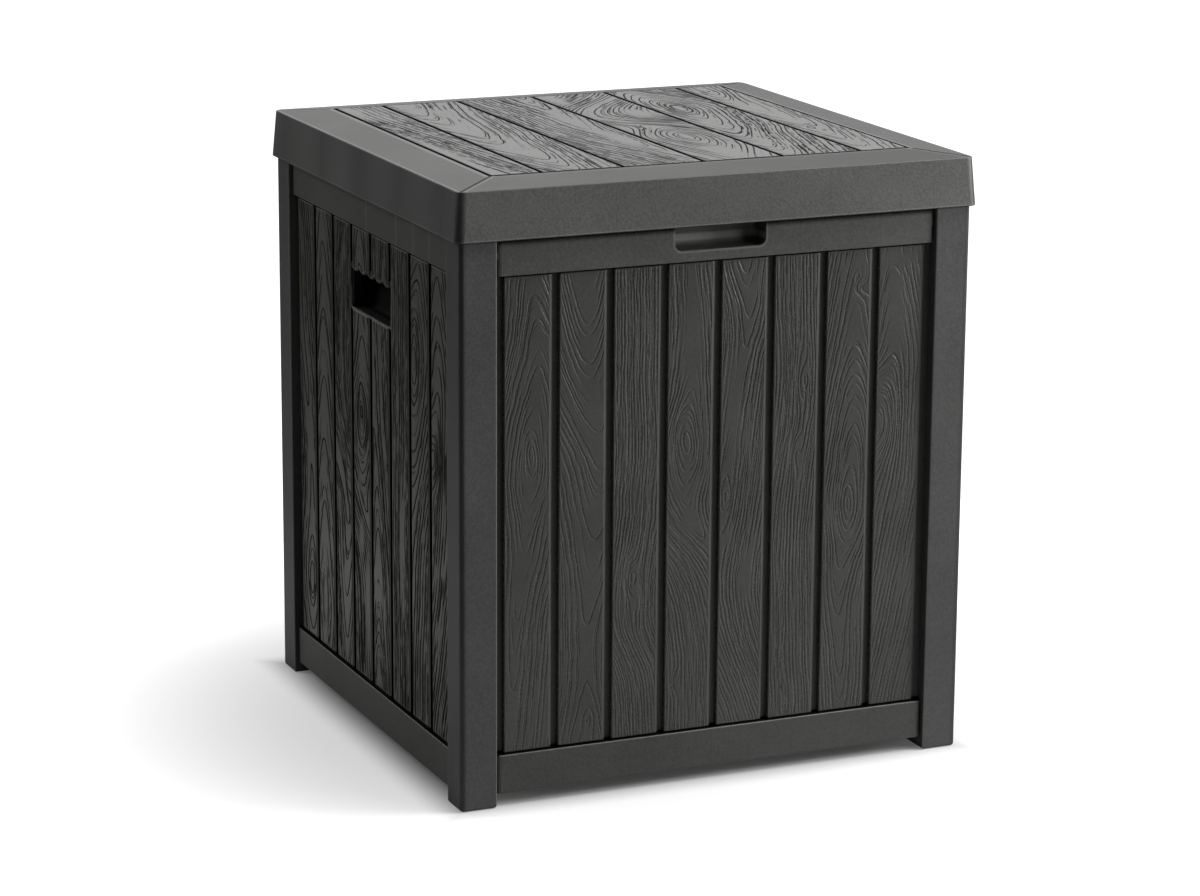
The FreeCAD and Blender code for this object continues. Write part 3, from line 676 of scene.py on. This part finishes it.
class Finish:
    """A new material with its tree, and its place as a vector and as x, y and z in metres"""

    def __init__(self, name):
        self.material = bpy.data.materials.new(name)
        self.material.use_nodes = True
        self.tree = self.material.node_tree
        self.place = self.coordinates("Object")
        self.x, self.y, self.z = self.place.split()

    def coordinates(self, kind):
        """One output of a Texture Coordinate node"""
        return Value(self.tree, self.tree.nodes.new("ShaderNodeTexCoord").outputs[kind])

    def give(self, socket, value):
        """Gives the shader's named socket a value or a number"""
        connect(self.tree.nodes["Principled BSDF"].inputs[socket], value)

    def bump(self, height, strength, distance):
        """Bump from a height onto the shader"""
        node = self.tree.nodes.new("ShaderNodeBump")
        node.inputs["Strength"].default_value = strength
        node.inputs["Distance"].default_value = distance
        connect(node.inputs["Height"], height)
        self.give("Normal", Value(self.tree, node.outputs[0]))

    def sheen(self, change):
        """Strength of the mirror part: its usual 0.5, times one plus a change from -1 upwards"""
        self.give("Specular IOR Level", (change + 1.0) * 0.5)


def moulded_resin(name, roughness, cloud=0.10, speckle=0.45):
    """Satin resin: slow clouds and fine speckle in colour and gloss, and a fine moulded bump"""
    finish = Finish(name)
    clouds = finish.place.noise(9.0, 3.0)
    grit = finish.place.noise(460.0)
    finish.give("Roughness", grit.spread(roughness - 0.05, roughness + 0.06))
    finish.bump(grit, speckle, 0.0003)
    return finish, clouds.spread(1 - cloud, 1 + cloud) + grit.spread(-0.17, 0.17)


def plain_resin(name, colour, roughness, cloud=0.06, speckle=0.12):
    """Moulded resin with nothing else on it"""
    finish, brightness = moulded_resin(name, roughness, cloud, speckle)
    finish.give("Base Color", tint(colour, brightness))
    return finish.material


def sink_lines(coordinate, pitch, half_width):
    """1 on thin lines at an even pitch along a coordinate, 0 between them"""
    return calculate("PINGPONG", coordinate, pitch / 2).remap(0.0, half_width, 1.0, 0.0)


def post_resin(name, colour, roughness):
    """Resin of the posts: painted highlights, with a stronger mirror part, along the inner edges, and
    painted shade at the outer corner
    """
    finish, brightness = moulded_resin(name, roughness)
    x, y = abs(finish.x), abs(finish.y)
    half_x, half_y = CHEST_HALF_X * MM, CHEST_HALF_Y * MM
    face, front_half, side_half, highlight_gain, corner_shade_brightness = 0.0012, 0.0012, 0.0022, 0.9, 0.35
    front_edge = FRONT_OPENING * MM / 2 + 0.0003
    side_edge = SIDE_OPENING * MM / 2 + 0.0006
    # Painted highlight: the faces are painted lighter along the posts' inner edges
    front = x.near(front_edge, front_half) * (y > half_y - face)
    side = y.near(side_edge, side_half) * (x > half_x - face)
    painted_highlight = (front + side) * highlight_gain
    # Painted shade: the faces are painted darker towards the posts' outer corner
    corner = largest(half_x - x, half_y - y).remap(0.002, 0.0075, corner_shade_brightness, 1.0)
    finish.give("Base Color", tint(colour, (brightness + painted_highlight) * corner))
    finish.sheen(painted_highlight)
    return finish.material


def recess_distance(x, z, half_width, foot, radius):
    """Distance outside an upright box with rounded lower corners, below 0 inside it"""
    across = abs(x) - (half_width - radius)
    down = foot + radius - z
    inside = calculate("MINIMUM", largest(across, down), 0.0)
    across, down = largest(across, 0.0), largest(down, 0.0)
    return inside + calculate("SQRT", across * across + down * down) - radius


def recess_painted_light(brightness, out, run, level, rail, high):
    """Brightness with the front's finger recess painted in: painted light on its wall, most of all
    in a band low on it, painted shade on its lip, and a painted highlight rim on the rail round it"""
    wall_light, band_light, rim_highlight_gain, lip_dark, darkest = 0.5, 3.0, 1.1, 0.9, 0.03
    band_level, band_half, rim_middle, rim_half = 0.0090, 0.0050, 0.0016, 0.0013
    bottom = (SKIRT_BOTTOM - RECESS_DROP) * MM
    away = recess_distance(run, level, RECESS_WIDTH * MM / 2, bottom, RECESS_RADIUS * MM)
    depth, front_half = abs(out), out < 0.0
    # Painted light on the recess wall and in a band low on it, painted shade on its lip
    sunk = (depth < rail - 0.0010) * (level > high + 0.003) * front_half
    lip = sunk * away.remap(-0.0050, -0.0006, 0.0, lip_dark)
    painted_rim_highlight = away.near(rim_middle, rim_half) * (depth > rail - 0.0008) * front_half
    band = level.near(bottom + band_level, band_half) * band_light
    return largest(darkest, brightness + sunk * (band + wall_light) - lip) + painted_rim_highlight * rim_highlight_gain


def panel_resin(name, colour, roughness, broad, planks, grip):
    """Resin of two walls: painted shade in the gaps at the planks' ends and on the rail's ledge
    below them, a painted highlight along the bottom rail's top edge and a painted lighter top
    rail on all of them; fine darker lines, a painted shadow under the lid's skirt and the
    finger recess's painted light and shade on the broad ones; and painted highlight lines
    across the top rails and painted shade inside the hand hole on the side ones"""
    finish, brightness = moulded_resin(name, roughness)
    out, run, level = (finish.y, finish.x, finish.z) if broad else (finish.x, finish.y, finish.z)
    depth = abs(out)
    half = (CHEST_HALF_Y if broad else CHEST_HALF_X) * MM
    face, rail = half - planks.setback, half - planks.rail_setback
    low, high = plank_levels(planks)
    gap = planks.end_gap * (1.0 if broad else SIDE_GAP)
    gap_shade_dark, skirt_shadow_dark, pit_shade_dark, highlight_gain, rail_line_highlight = 0.92, 0.9, 0.8, 0.45, 0.42
    sink_pitch, sink_half, sink_dark = 0.0905, 0.0011, 0.10
    top_rail_painted_light = 1.36 if broad else 1.22
    # Painted shade: dark bands in the gaps at the planks' ends and on the rail's ledge below them
    ends = largest(level.near(low + gap * 0.6, gap * 1.2), level.near(high - gap * 0.6, gap * 1.2))
    ledge = level.near(low, 0.0012) * depth.remap(rail - 0.0014, rail - 0.0008, 1.0, 0.0)
    painted_shade = largest(ends * (depth < face + 0.0002), ledge) * gap_shade_dark
    on_rail = depth > rail - 0.0009
    # Painted highlight along the bottom rail's top edge, and the top rail painted lighter than the
    # planks below it
    painted_highlight = level.near(low - 0.0002, 0.0014) * highlight_gain
    brightness = brightness * level.remap(high - 0.001, high + 0.001, 1.0, top_rail_painted_light)
    if broad:
        lines = sink_lines(run + 0.003, sink_pitch, sink_half) * -sink_dark
        # Painted shadow: the rail is painted darker, with less sheen, just under the lid's skirt
        foot = SKIRT_BOTTOM * MM
        under = level.remap(foot - 0.0085, foot - 0.0005) * on_rail
        brightness = recess_painted_light(brightness - under, out, run, level, rail, high)
        painted_shade = largest(painted_shade, under * skirt_shadow_dark)
    else:
        # Painted highlights: thin bright lines, with more sheen, across the side walls' top rails
        lines = sum(run.near(place * MM, 0.0030) for place in RAIL_LINES)
        lines = lines * (level > high) * rail_line_highlight
        # Painted shade: black inside the hand hole, behind the planks' faces
        pit_shade = (depth < face - 0.0030) * level.near(high - grip.drop - grip.height / 2, grip.height)
        pit_shade = pit_shade * (abs(run) < grip.width / 2 + 0.004)
        painted_shade = largest(painted_shade, pit_shade * pit_shade_dark)
    marked = (lines + painted_highlight) * on_rail
    finish.give("Base Color", tint(colour, brightness * (1.0 + marked - painted_shade)))
    finish.sheen(marked - painted_shade)
    return finish.material


def frame_marks(x, y, z, upward, sizes):
    """Painted shade and painted light on the lid's top: painted shade in the field between the
    planks and on the mitre lines, a painted highlight beside each mitre line and along the
    frame's inner edges, and painted light that falls slowly from left to right"""
    half_x, half_y, field_x, field_low, field_high = lid_field(sizes)
    field_dark, mitre_dark, mitre_light, side_light, front_light = 0.97, 0.93, 0.8, 1.0, 0.30
    mitre_half, light_middle, light_half = 0.062, 0.105, 0.048
    edge_middle, edge_half, spare, field_depth = 0.0022, 0.0030, 0.0001, 0.0022
    away = abs(x)
    within = ((away < field_x + spare) * (y < field_high + spare) * (y > field_low - spare)
              * (z > LID_TOP * MM - field_depth))
    beyond = upward.remap(0.8, 0.95) * (1.0 - within)
    share_x = (half_x - away) / sizes.side_frame
    off_low = share_x - (half_y + y) / sizes.front_frame
    off_high = share_x - (half_y - y) / sizes.back_frame
    mitre = largest(off_low.near(0.0, mitre_half), off_high.near(0.0, mitre_half))
    beside_mitre = off_low.near(light_middle, light_half) + off_high.near(light_middle, light_half)
    beside_x = (away.near(field_x + edge_middle, edge_half) * (y < field_high + 0.001)
                * (y > field_low - 0.001) * side_light)
    beside_y = y.near(field_low - edge_middle, edge_half) * (away < field_x + 0.001) * front_light
    # Painted light: the top is painted lighter at the left and darker at the right
    painted_light_drift = x.remap(-0.28, 0.28, 0.14, -0.24)
    painted_frame_light = (beside_mitre * mitre_light + beside_x + beside_y + painted_light_drift) * beyond
    return largest(within * field_dark, mitre * beyond * mitre_dark), painted_frame_light


def cover_resin(name, colour, roughness, sizes):
    """Resin of the lid's cover: painted shading of sink lines and soft swells down its skirt, painted
    shade at the upright corners and on the foot, a painted highlight rim above the foot, a painted
    highlight ridge along the top's side edges, and the frame's painted light and shade"""
    finish, brightness = moulded_resin(name, roughness)
    x, y, z = finish.x, finish.y, finish.z
    facing_x, facing_y, upward = finish.coordinates("Normal").split()
    on_front, on_side = abs(facing_y) > 0.8, abs(facing_x) > 0.8
    sink_pitch, sink_half, front_sink, side_sink = 0.116, 0.0012, 0.12, 0.35
    ridge_highlight_gain, rim_highlight_gain, foot_dark, corner_shade_dark, darkest = 0.9, 0.5, 1.8, 0.60, 0.02
    # Painted shading of sink marks: thin darker lines down the skirt, strongest on its sides
    marked = (on_front * sink_lines(x, sink_pitch, sink_half) * front_sink
              + on_side * sink_lines(y, sink_pitch, sink_half) * side_sink)
    # Painted light and shade of soft swells between the sink lines on the side skirt
    wave = calculate("PINGPONG", y, sink_pitch / 2)
    # Painted highlight along the top's side edges
    painted_ridge_highlight = abs(x).near(LID_HIGH[0] * MM - 0.0056, 0.0016) * upward.remap(0.75, 0.95)
    # The frame's painted shade and painted light
    seam, painted_frame_light = frame_marks(x, y, z, upward, sizes)
    swell = on_side * wave.remap(0.0, sink_pitch / 2, -0.12, 0.06) + painted_ridge_highlight * ridge_highlight_gain + painted_frame_light
    foot = SKIRT_BOTTOM * MM
    # Painted highlight rim above the skirt's foot, and painted shade on the foot itself
    painted_rim_highlight = z.remap(foot + 0.0018, foot + 0.0028, rim_highlight_gain, 0.0)
    under = z.remap(foot + 0.0006, foot + 0.0012, foot_dark, 0.0)
    shade = largest(darkest, 1.0 + swell - marked - seam + painted_rim_highlight - under)
    # Painted shade: the upright faces are painted darker towards the corners
    corner = largest(LID_HIGH[0] * MM - abs(x), LID_HIGH[1] * MM - abs(y))
    painted_corner_shade = corner.remap(0.004, 0.010, corner_shade_dark, 0.0) * upward.remap(0.3, 0.7, 1.0, 0.0)
    finish.give("Base Color", tint(colour, brightness * shade * (1.0 - painted_corner_shade)))
    finish.sheen(swell - seam)
    return finish.material


def plank_resin(name, colour, roughness, painted_line_light, line_roughness):
    """Resin of a grained plank: the cut lines and flanks, read from the mesh's grain, get painted
    light or painted shade as their own share of the brightness, added roughness, and no sheen
    where they are painted darker"""
    finish = Finish(name)
    layer = finish.tree.nodes.new("ShaderNodeAttribute")
    layer.attribute_name = "grain"
    cut = Value(finish.tree, layer.outputs["Fac"])
    grit = finish.place.noise(560.0)
    brightness = finish.place.noise(14.0, 3.0).spread(0.88, 1.10) + grit.spread(-0.13, 0.13)
    # Painted light and shade: lines and flanks painted lighter or darker than the plateaus
    finish.give("Base Color", tint(colour, brightness * cut.remap(0.0, 1.0, 1.0, painted_line_light)))
    gloss = grit.spread(roughness - 0.04, roughness + 0.05)
    finish.give("Roughness", gloss + cut * line_roughness)
    if painted_line_light < 1:
        finish.sheen(cut * -0.97)
    finish.bump(grit, 0.25, 0.0002)
    return finish.material


def lip_resin(name, colour, roughness, middle):
    """Resin of a hand hole's lip: painted light below the hole's middle and painted shade above it"""
    finish, brightness = moulded_resin(name, roughness, 0.05, 0.12)
    painted_lip_light = finish.z.remap(middle - 0.005, middle + 0.005, 1.3, 0.3)
    finish.give("Base Color", tint(colour, brightness * painted_lip_light))
    finish.sheen(painted_lip_light - 1.0)
    return finish.material


def bare_steel(name, colour, roughness, streak):
    """Zinc-grey steel with fine drawn or turned marks"""
    finish = Finish(name)
    marks = finish.place.noise(1400.0, 2.0, streak)
    finish.give("Metallic", 1.0)
    finish.give("Base Color", tint(colour, marks.spread(0.85, 1.08)))
    finish.give("Roughness", marks.spread(roughness - 0.06, roughness + 0.08))
    finish.bump(marks, 0.2, 0.0001)
    return finish.material


def painted_light_copy(colour, *shares):
    """A painted lit or shaded copy of a colour: each channel multiplied by its share, or by the one
    share
    """
    return [channel * share for channel, share in zip(colour, shares * (3 // len(shares)))]


def dress(material, *nodes):
    """Gives CAD nodes a material in place of their own"""
    for node in nodes:
        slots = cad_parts[node].data.materials
        slots.clear()
        slots.append(material)


# Operators


class CHEST_OT_finishes(bpy.types.Operator):
    """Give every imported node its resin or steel"""
    bl_idname = "chest.finishes"
    bl_label = "Finishes"

    def execute(self, context):
        scene = context.scene
        look, rough = scene.chest_finish, scene.chest_finish.roughness
        hands = ("left", "right")
        for side, names in (("broad", ("front_panel", "rear_panel")),
                            ("side", ("left_panel", "right_panel"))):
            dress(panel_resin(side + "_wall_resin", look.wall, rough, side == "broad",
                              scene.chest_planks, scene.chest_grips), *names)
        dress(post_resin("post_resin", look.post, rough),
              *["corner_post_" + end + "_" + hand for end in ("front", "rear") for hand in hands])
        dress(cover_resin("cover_resin", look.lid, rough, scene.chest_lid_planks), "lid_cover")
        dress(plain_resin("inner_resin", look.inner, rough + 0.04), "floor_panel", "lid_liner")
        # Painted shade: the cups behind the hand holes get a near-black copy of the inner colour with
        # little sheen
        cup = plain_resin("cup_shade_resin", painted_light_copy(look.inner, 0.08), rough + 0.25)
        cup.node_tree.nodes["Principled BSDF"].inputs["Specular IOR Level"].default_value = 0.06
        dress(cup, "grip_cup_left", "grip_cup_right")
        dress(plain_resin("hinge_resin", look.hinge, rough - 0.06, 0.06, 0.15),
              *["hinge_" + kind + "_" + hand for kind in ("bracket", "leaf") for hand in hands])
        dress(bare_steel("drawn_steel", look.steel, 0.32, (0.05, 1, 1)),
              "hinge_pin_left", "hinge_pin_right")
        dress(bare_steel("plated_steel", look.steel, 0.36, (1, 1, 1)), "lid_liner_screws",
              "hinge_bracket_screws", "hinge_leaf_screws")
        return {"FINISHED"}


def wall_axes(wall):
    """Origin and directions of a wall's planks: across, down and out, in millimetres"""
    sizes = bpy.context.scene.chest_planks
    across, out = {"front": ((1, 0, 0), (0, -1, 0)), "rear": ((-1, 0, 0), (0, 1, 0)),
                   "left": ((0, -1, 0), (-1, 0, 0)), "right": ((0, -1, 0), (1, 0, 0))}[wall]
    half = CHEST_HALF_Y if wall in ("front", "rear") else CHEST_HALF_X
    top = np.array((0, 0, plank_levels(sizes)[1] / MM))
    origin = np.array(out) * (half - sizes.setback / MM) + top
    return origin, np.array(across, float), np.array((0, 0, -1.0)), np.array(out, float)


def hole_top(across, grip):
    """Level of a hand hole's scalloped edge below its corners: arcs that hang between cusps"""
    step = grip.width / MM / grip.scallops
    sag = grip.scallop / MM
    radius = (step * step / 4 + sag * sag) / (2 * sag)
    phase = np.mod(across + grip.width / MM / 2, step) - step / 2
    return np.sqrt(np.maximum(radius * radius - phase * phase, 0)) - (radius - sag)


def wall_planks(context, wall, figures, opening, material, coarse):
    """Skins of one wall's planks; those beside a hand hole stop under its lip"""
    sizes, grip = context.scene.chest_planks, context.scene.chest_grips
    overhang, sunk, tuck, under_lip = 0.28, 2.3, 1.0, 0.4
    groove, lip = sizes.groove / MM, 2 * grip.lip / MM
    field = opening - 2 * sizes.strip / MM
    width = (field - (sizes.count - 1) * groove) / sizes.count
    foot, head = plank_levels(sizes)
    length = (head - foot) / MM
    sideways = wall in ("left", "right")
    gap = sizes.end_gap / MM * (SIDE_GAP if sideways else 1.0)
    high = grip.drop / MM - lip + under_lip
    low = (grip.drop + grip.height) / MM + lip - under_lip
    skin = Skin(sizes.edge / MM, sizes.end_edge / MM, sizes.shoulder / MM, sizes.proud / MM, sunk,
                tuck, sizes.across * coarse / MM, sizes.along * coarse / MM)
    for i in range(sizes.count):
        middle = -field / 2 + i * (width + groove) + width / 2
        spans = [("", straight(gap), straight(length - gap))]
        if sideways and abs(middle) + width / 2 < grip.width / MM / 2:
            spans = [("_upper", straight(gap), lambda across: high + hole_top(across, grip)),
                     ("_lower", straight(low), straight(length - gap))]
        for part, begin, stop in spans:
            plank_skin("plank_" + wall + "_" + str(i + 1) + part, figures[i], middle,
                       width + 2 * overhang, begin, stop, skin, wall_axes(wall), material, "chest")


class CHEST_OT_wall_planks(bpy.types.Operator):
    """Lay grained skins over the planks of the four walls"""
    bl_idname = "chest.wall_planks"
    bl_label = "Wall planks"

    def execute(self, context):
        look = context.scene.chest_finish
        # Painted light: the broad walls' lines and flanks are painted lighter; the side walls' planks
        # get a lighter copy of the wall colour, with their lines and flanks painted dark
        broad = plank_resin("broad_plank_resin", look.wall, look.roughness - 0.10, 1.35, -0.14)
        side = plank_resin("side_plank_resin", painted_light_copy(look.wall, 1.36, 1.36, 1.24),
                           look.roughness - 0.14, 0.05, 0.55)
        for wall, figures, opening, material, coarse in (
                ("front", FRONT_FIGURES, FRONT_OPENING, broad, 1.0),
                ("rear", FRONT_FIGURES, FRONT_OPENING, broad, 3.0),
                ("left", SIDE_FIGURES, SIDE_OPENING, side, 1.6),
                ("right", SIDE_FIGURES, SIDE_OPENING, side, 2.6)):
            wall_planks(context, wall, figures, opening, material, coarse)
        return {"FINISHED"}


class CHEST_OT_lid_planks(bpy.types.Operator):
    """Lay grained skins over the planks of the lid"""
    bl_idname = "chest.lid_planks"
    bl_label = "Lid planks"

    def execute(self, context):
        sizes, look = context.scene.chest_lid_planks, context.scene.chest_finish
        # Painted light: the lid's planks get a lighter copy of the lid colour, with their lines and
        # flanks painted dark
        material = plank_resin("lid_plank_resin", painted_light_copy(look.lid, 1.3), look.roughness - 0.17,
                               0.12, 0.66)
        margin, end_margin, edge, sunk, tuck = 1.2, 0.9, 0.35, 1.3, 0.8
        seam, pitch = sizes.seam / MM, sizes.pitch / MM
        field_x, field_low, field_high = (place / MM for place in lid_field(sizes)[2:])
        front = field_low + seam
        length = field_high - seam - front
        cuts = [(i - (sizes.count - 2) / 2) * pitch for i in range(sizes.count - 1)]
        lefts = [-field_x + seam] + [x + seam / 2 for x in cuts]
        rights = [x - seam / 2 for x in cuts] + [field_x - seam]
        axes = np.array(((0, front, LID_TOP), (1, 0, 0), (0, 1, 0), (0, 0, 1)), float)
        skin = Skin(edge, edge, 0.0, sizes.proud / MM, sunk, tuck, sizes.across / MM,
                    sizes.along / MM)
        for i, (left, right) in enumerate(zip(lefts, rights)):
            plank_skin("plank_lid_" + str(i + 1), LID_FIGURES[i], (left + right) / 2,
                       right - left - 2 * margin, straight(end_margin),
                       straight(length - end_margin), skin, axes, material, "lid")
        return {"FINISHED"}


class CHEST_OT_grip_lips(bpy.types.Operator):
    """Run a rounded lip round each hand hole"""
    bl_idname = "chest.grip_lips"
    bl_label = "Grip lips"

    def execute(self, context):
        scene = context.scene
        grip, look, sizes = scene.chest_grips, scene.chest_finish, scene.chest_planks
        middle = plank_levels(sizes)[1] - grip.drop - grip.height / 2
        material = lip_resin("lip_resin", look.wall, look.roughness - 0.05, middle)
        points_along, points_up, points_round = 140, 10, 12
        radius = grip.lip / MM
        half, reach = grip.width / MM / 2, radius * 0.8
        top, bottom = grip.drop / MM, (grip.drop + grip.height) / MM
        level = 0.35 - (grip.collar - sizes.setback) / MM
        across = np.linspace(-half, half, points_along)
        rise = np.linspace(0, 1, points_up + 2)[1:-1]
        ring_a = np.concatenate([across, np.full(points_up, half + reach), across[::-1],
                                 np.full(points_up, -half - reach)])
        ring_v = np.concatenate([top + hole_top(across, grip) - reach, top + (bottom - top) * rise,
                                 np.full(points_along, bottom + reach),
                                 bottom + (top - bottom) * rise])
        run_a = np.roll(ring_a, -1) - np.roll(ring_a, 1)
        run_v = np.roll(ring_v, -1) - np.roll(ring_v, 1)
        norm = np.hypot(run_a, run_v)
        turn = np.arange(points_round) * (2 * math.pi / points_round)
        a = ring_a[:, None] + (run_v / norm)[:, None] * np.cos(turn)[None, :] * radius
        v = ring_v[:, None] - (run_a / norm)[:, None] * np.cos(turn)[None, :] * radius
        h = np.broadcast_to(level + np.sin(turn)[None, :] * radius * 1.1, a.shape)
        r, c = np.arange(len(ring_a))[:, None], np.arange(points_round)[None, :]
        s, d = (r + 1) % len(ring_a), (c + 1) % points_round
        corners = [row * points_round + column for row, column in ((r, c), (s, c), (s, d), (r, d))]
        quads = np.stack(corners, -1).reshape(-1, 4)
        for wall in ("left", "right"):
            origin, way_across, way_along, way_out = wall_axes(wall)
            points = (origin + a[:, :, None] * way_across + v[:, :, None] * way_along
                      + h[:, :, None] * way_out).reshape(-1, 3) * MM
            flip = np.dot(np.cross(way_across, way_along), way_out) < 0
            faces = quads[:, ::-1] if flip else quads
            put_mesh("grip_lip_" + wall, points, faces, np.zeros((0, 3), int), None, material,
                     "chest")
        return {"FINISHED"}


class CHEST_OT_studio(bpy.types.Operator):
    """Set up the camera, the pale floor and the lamps"""
    bl_idname = "chest.studio"
    bl_label = "Studio"

    def execute(self, context):
        scene = context.scene
        self.camera(scene, scene.chest_studio)
        self.floor(scene)
        self.lamps(scene, scene.chest_studio)
        self.world(scene, scene.chest_studio)
        scene.view_settings.view_transform = "Standard"
        return {"FINISHED"}

    def camera(self, scene, studio):
        """Camera that looks along its yaw and pitch, tilted by its roll"""
        a, b, c = studio.yaw, studio.pitch, studio.roll
        ahead = Vector((math.sin(a) * math.cos(b), math.cos(a) * math.cos(b), -math.sin(b)))
        right = Vector((math.cos(a), -math.sin(a), 0))
        up = right.cross(ahead)
        tilted_right = right * math.cos(c) + up * math.sin(c)
        tilted_up = up * math.cos(c) - right * math.sin(c)
        data = bpy.data.cameras.new("camera")
        data.sensor_width = 36
        data.lens = studio.lens
        data.clip_end = 200
        camera = bpy.data.objects.new("camera", data)
        turned = Matrix((tilted_right, tilted_up, -ahead)).transposed().to_4x4()
        camera.matrix_world = Matrix.Translation(studio.eye) @ turned
        scene.collection.objects.link(camera)
        scene.camera = camera

    def floor(self, scene):
        """Round white floor: matt to the lamps, with a glow that the camera sees, weak over the
        chest's foot and close beside it, so that the real shadow shows there, deepened as a painted
        contact shadow, and pure white away from it. Mirrors see a little of it behind the chest"""
        radius, sides, level = 60, 64, -0.0003
        turns = np.linspace(0, 2 * math.pi, sides + 1)[:-1]
        mesh = bpy.data.meshes.new("studio_floor")
        mesh.from_pydata([(math.cos(t) * radius, math.sin(t) * radius, level) for t in turns], [],
                         [list(range(sides))])
        finish = Finish("floor_white")
        tree = finish.tree
        tree.nodes.remove(tree.nodes["Principled BSDF"])
        distance = vector_node("LENGTH", "Value", finish.place)
        beside = largest(abs(finish.x) - CHEST_HALF_X * MM, abs(finish.y) - CHEST_HALF_Y * MM)
        # Painted contact shadow: the glow is weakest over the chest's foot and grows away from it
        glow = beside.remap(-0.02, 0.035, 0.08, 1.0) * 0.55 + distance.remap(0.28, 0.72) * 0.60
        camera, mirrored = light_paths(tree)
        behind = distance.remap(0.55, 1.1, 0.3, 0.0) * finish.y.remap(-0.45, -0.15, 0.05, 1.0)
        matt = tree.nodes.new("ShaderNodeBsdfDiffuse")
        connect(matt.inputs["Color"], tint((1, 1, 1), distance.remap(0.9, 2.0, 0.40, 0.25)))
        light = tree.nodes.new("ShaderNodeEmission")
        connect(light.inputs["Strength"], glow * largest(camera, mirrored * behind))
        both = tree.nodes.new("ShaderNodeAddShader")
        tree.links.new(matt.outputs[0], both.inputs[0])
        tree.links.new(light.outputs[0], both.inputs[1])
        tree.links.new(both.outputs[0], tree.nodes["Material Output"].inputs["Surface"])
        mesh.materials.append(finish.material)
        floor = bpy.data.objects.new("studio_floor", mesh)
        scene.collection.objects.link(floor)

    def lamps(self, scene, studio):
        """Key lamp high at the right, a front lamp that mirrors don't show, a small low lamp at
        the right and a weak one behind the left, all aimed at the chest's middle"""
        aim = Vector((0, 0, 0.3))
        for name, place, size, power in (
                ("key_lamp", (3.2, -1.15, 4.3), 2.2, studio.key),
                ("front_lamp", (1.40, -1.70, 1.25), 1.0, studio.front),
                ("side_lamp", (1.8, -1.0, 0.8), 0.4, studio.side),
                ("left_lamp", (-1.6, 1.2, 1.5), 0.8, studio.left)):
            data = bpy.data.lights.new(name, "AREA")
            data.shape = "SQUARE"
            data.size = size
            data.energy = power
            lamp = bpy.data.objects.new(name, data)
            lamp.visible_glossy = name != "front_lamp"
            lamp.location = place
            lamp.rotation_euler = (aim - Vector(place)).to_track_quat("-Z", "Y").to_euler()
            scene.collection.objects.link(lamp)

    def world(self, scene, studio):
        """Surroundings that are pure white to the camera, white in mirrors towards the backdrop
        and dark elsewhere, and weak as a light"""
        world = bpy.data.worlds.new("studio")
        world.use_nodes = True
        tree = world.node_tree
        background = tree.nodes["Background"]
        background.inputs["Color"].default_value = (1, 1, 1, 1)
        direction = Value(tree, tree.nodes.new("ShaderNodeTexCoord").outputs["Generated"])
        towards = vector_node("DOT_PRODUCT", "Value", direction, Vector(studio.backdrop).normalized())
        camera, mirrored = light_paths(tree)
        seen = largest(camera, towards.remap(0.5, 0.95, studio.dark, 1.0) * mirrored)
        connect(background.inputs["Strength"],
                seen + (1.0 - largest(camera, mirrored)) * studio.world)
        scene.world = world


class CHEST_PT_sidebar(bpy.types.Panel):
    """Lists the chest's operators and settings"""
    bl_label = "Garden storage chest"
    bl_idname = "CHEST_PT_sidebar"
    bl_space_type = "VIEW_3D"
    bl_region_type = "UI"
    bl_category = "Chest"

    def draw(self, context):
        for step in STEPS:
            self.layout.operator(step.bl_idname)
        for group in SETTINGS:
            settings = getattr(context.scene, group)
            for name in settings.bl_rna.properties.keys():
                if name not in ("rna_type", "name"):
                    self.layout.prop(settings, name)


SETTINGS = {"chest_planks": PlankSettings, "chest_lid_planks": LidPlankSettings,
            "chest_grips": GripSettings, "chest_finish": FinishSettings,
            "chest_studio": StudioSettings}
STEPS = (CHEST_OT_studio, CHEST_OT_finishes, CHEST_OT_wall_planks, CHEST_OT_lid_planks,
         CHEST_OT_grip_lips)


def register():
    """Registers the settings, the operators and the sidebar"""
    for name, group in SETTINGS.items():
        bpy.utils.register_class(group)
        setattr(bpy.types.Scene, name, PointerProperty(type=group))
    for step in STEPS:
        bpy.utils.register_class(step)
    bpy.utils.register_class(CHEST_PT_sidebar)


def unregister():
    """Takes the sidebar, the operators and the settings out again"""
    bpy.utils.unregister_class(CHEST_PT_sidebar)
    for step in reversed(STEPS):
        bpy.utils.unregister_class(step)
    for name, group in SETTINGS.items():
        delattr(bpy.types.Scene, name)
        bpy.utils.unregister_class(group)


def main():
    register()
    bpy.ops.chest.studio()
    bpy.ops.chest.finishes()
    bpy.ops.chest.wall_planks()
    bpy.ops.chest.lid_planks()
    bpy.ops.chest.grip_lips()
    bpy.context.view_layer.update()


if __name__ == "__main__":
    main()
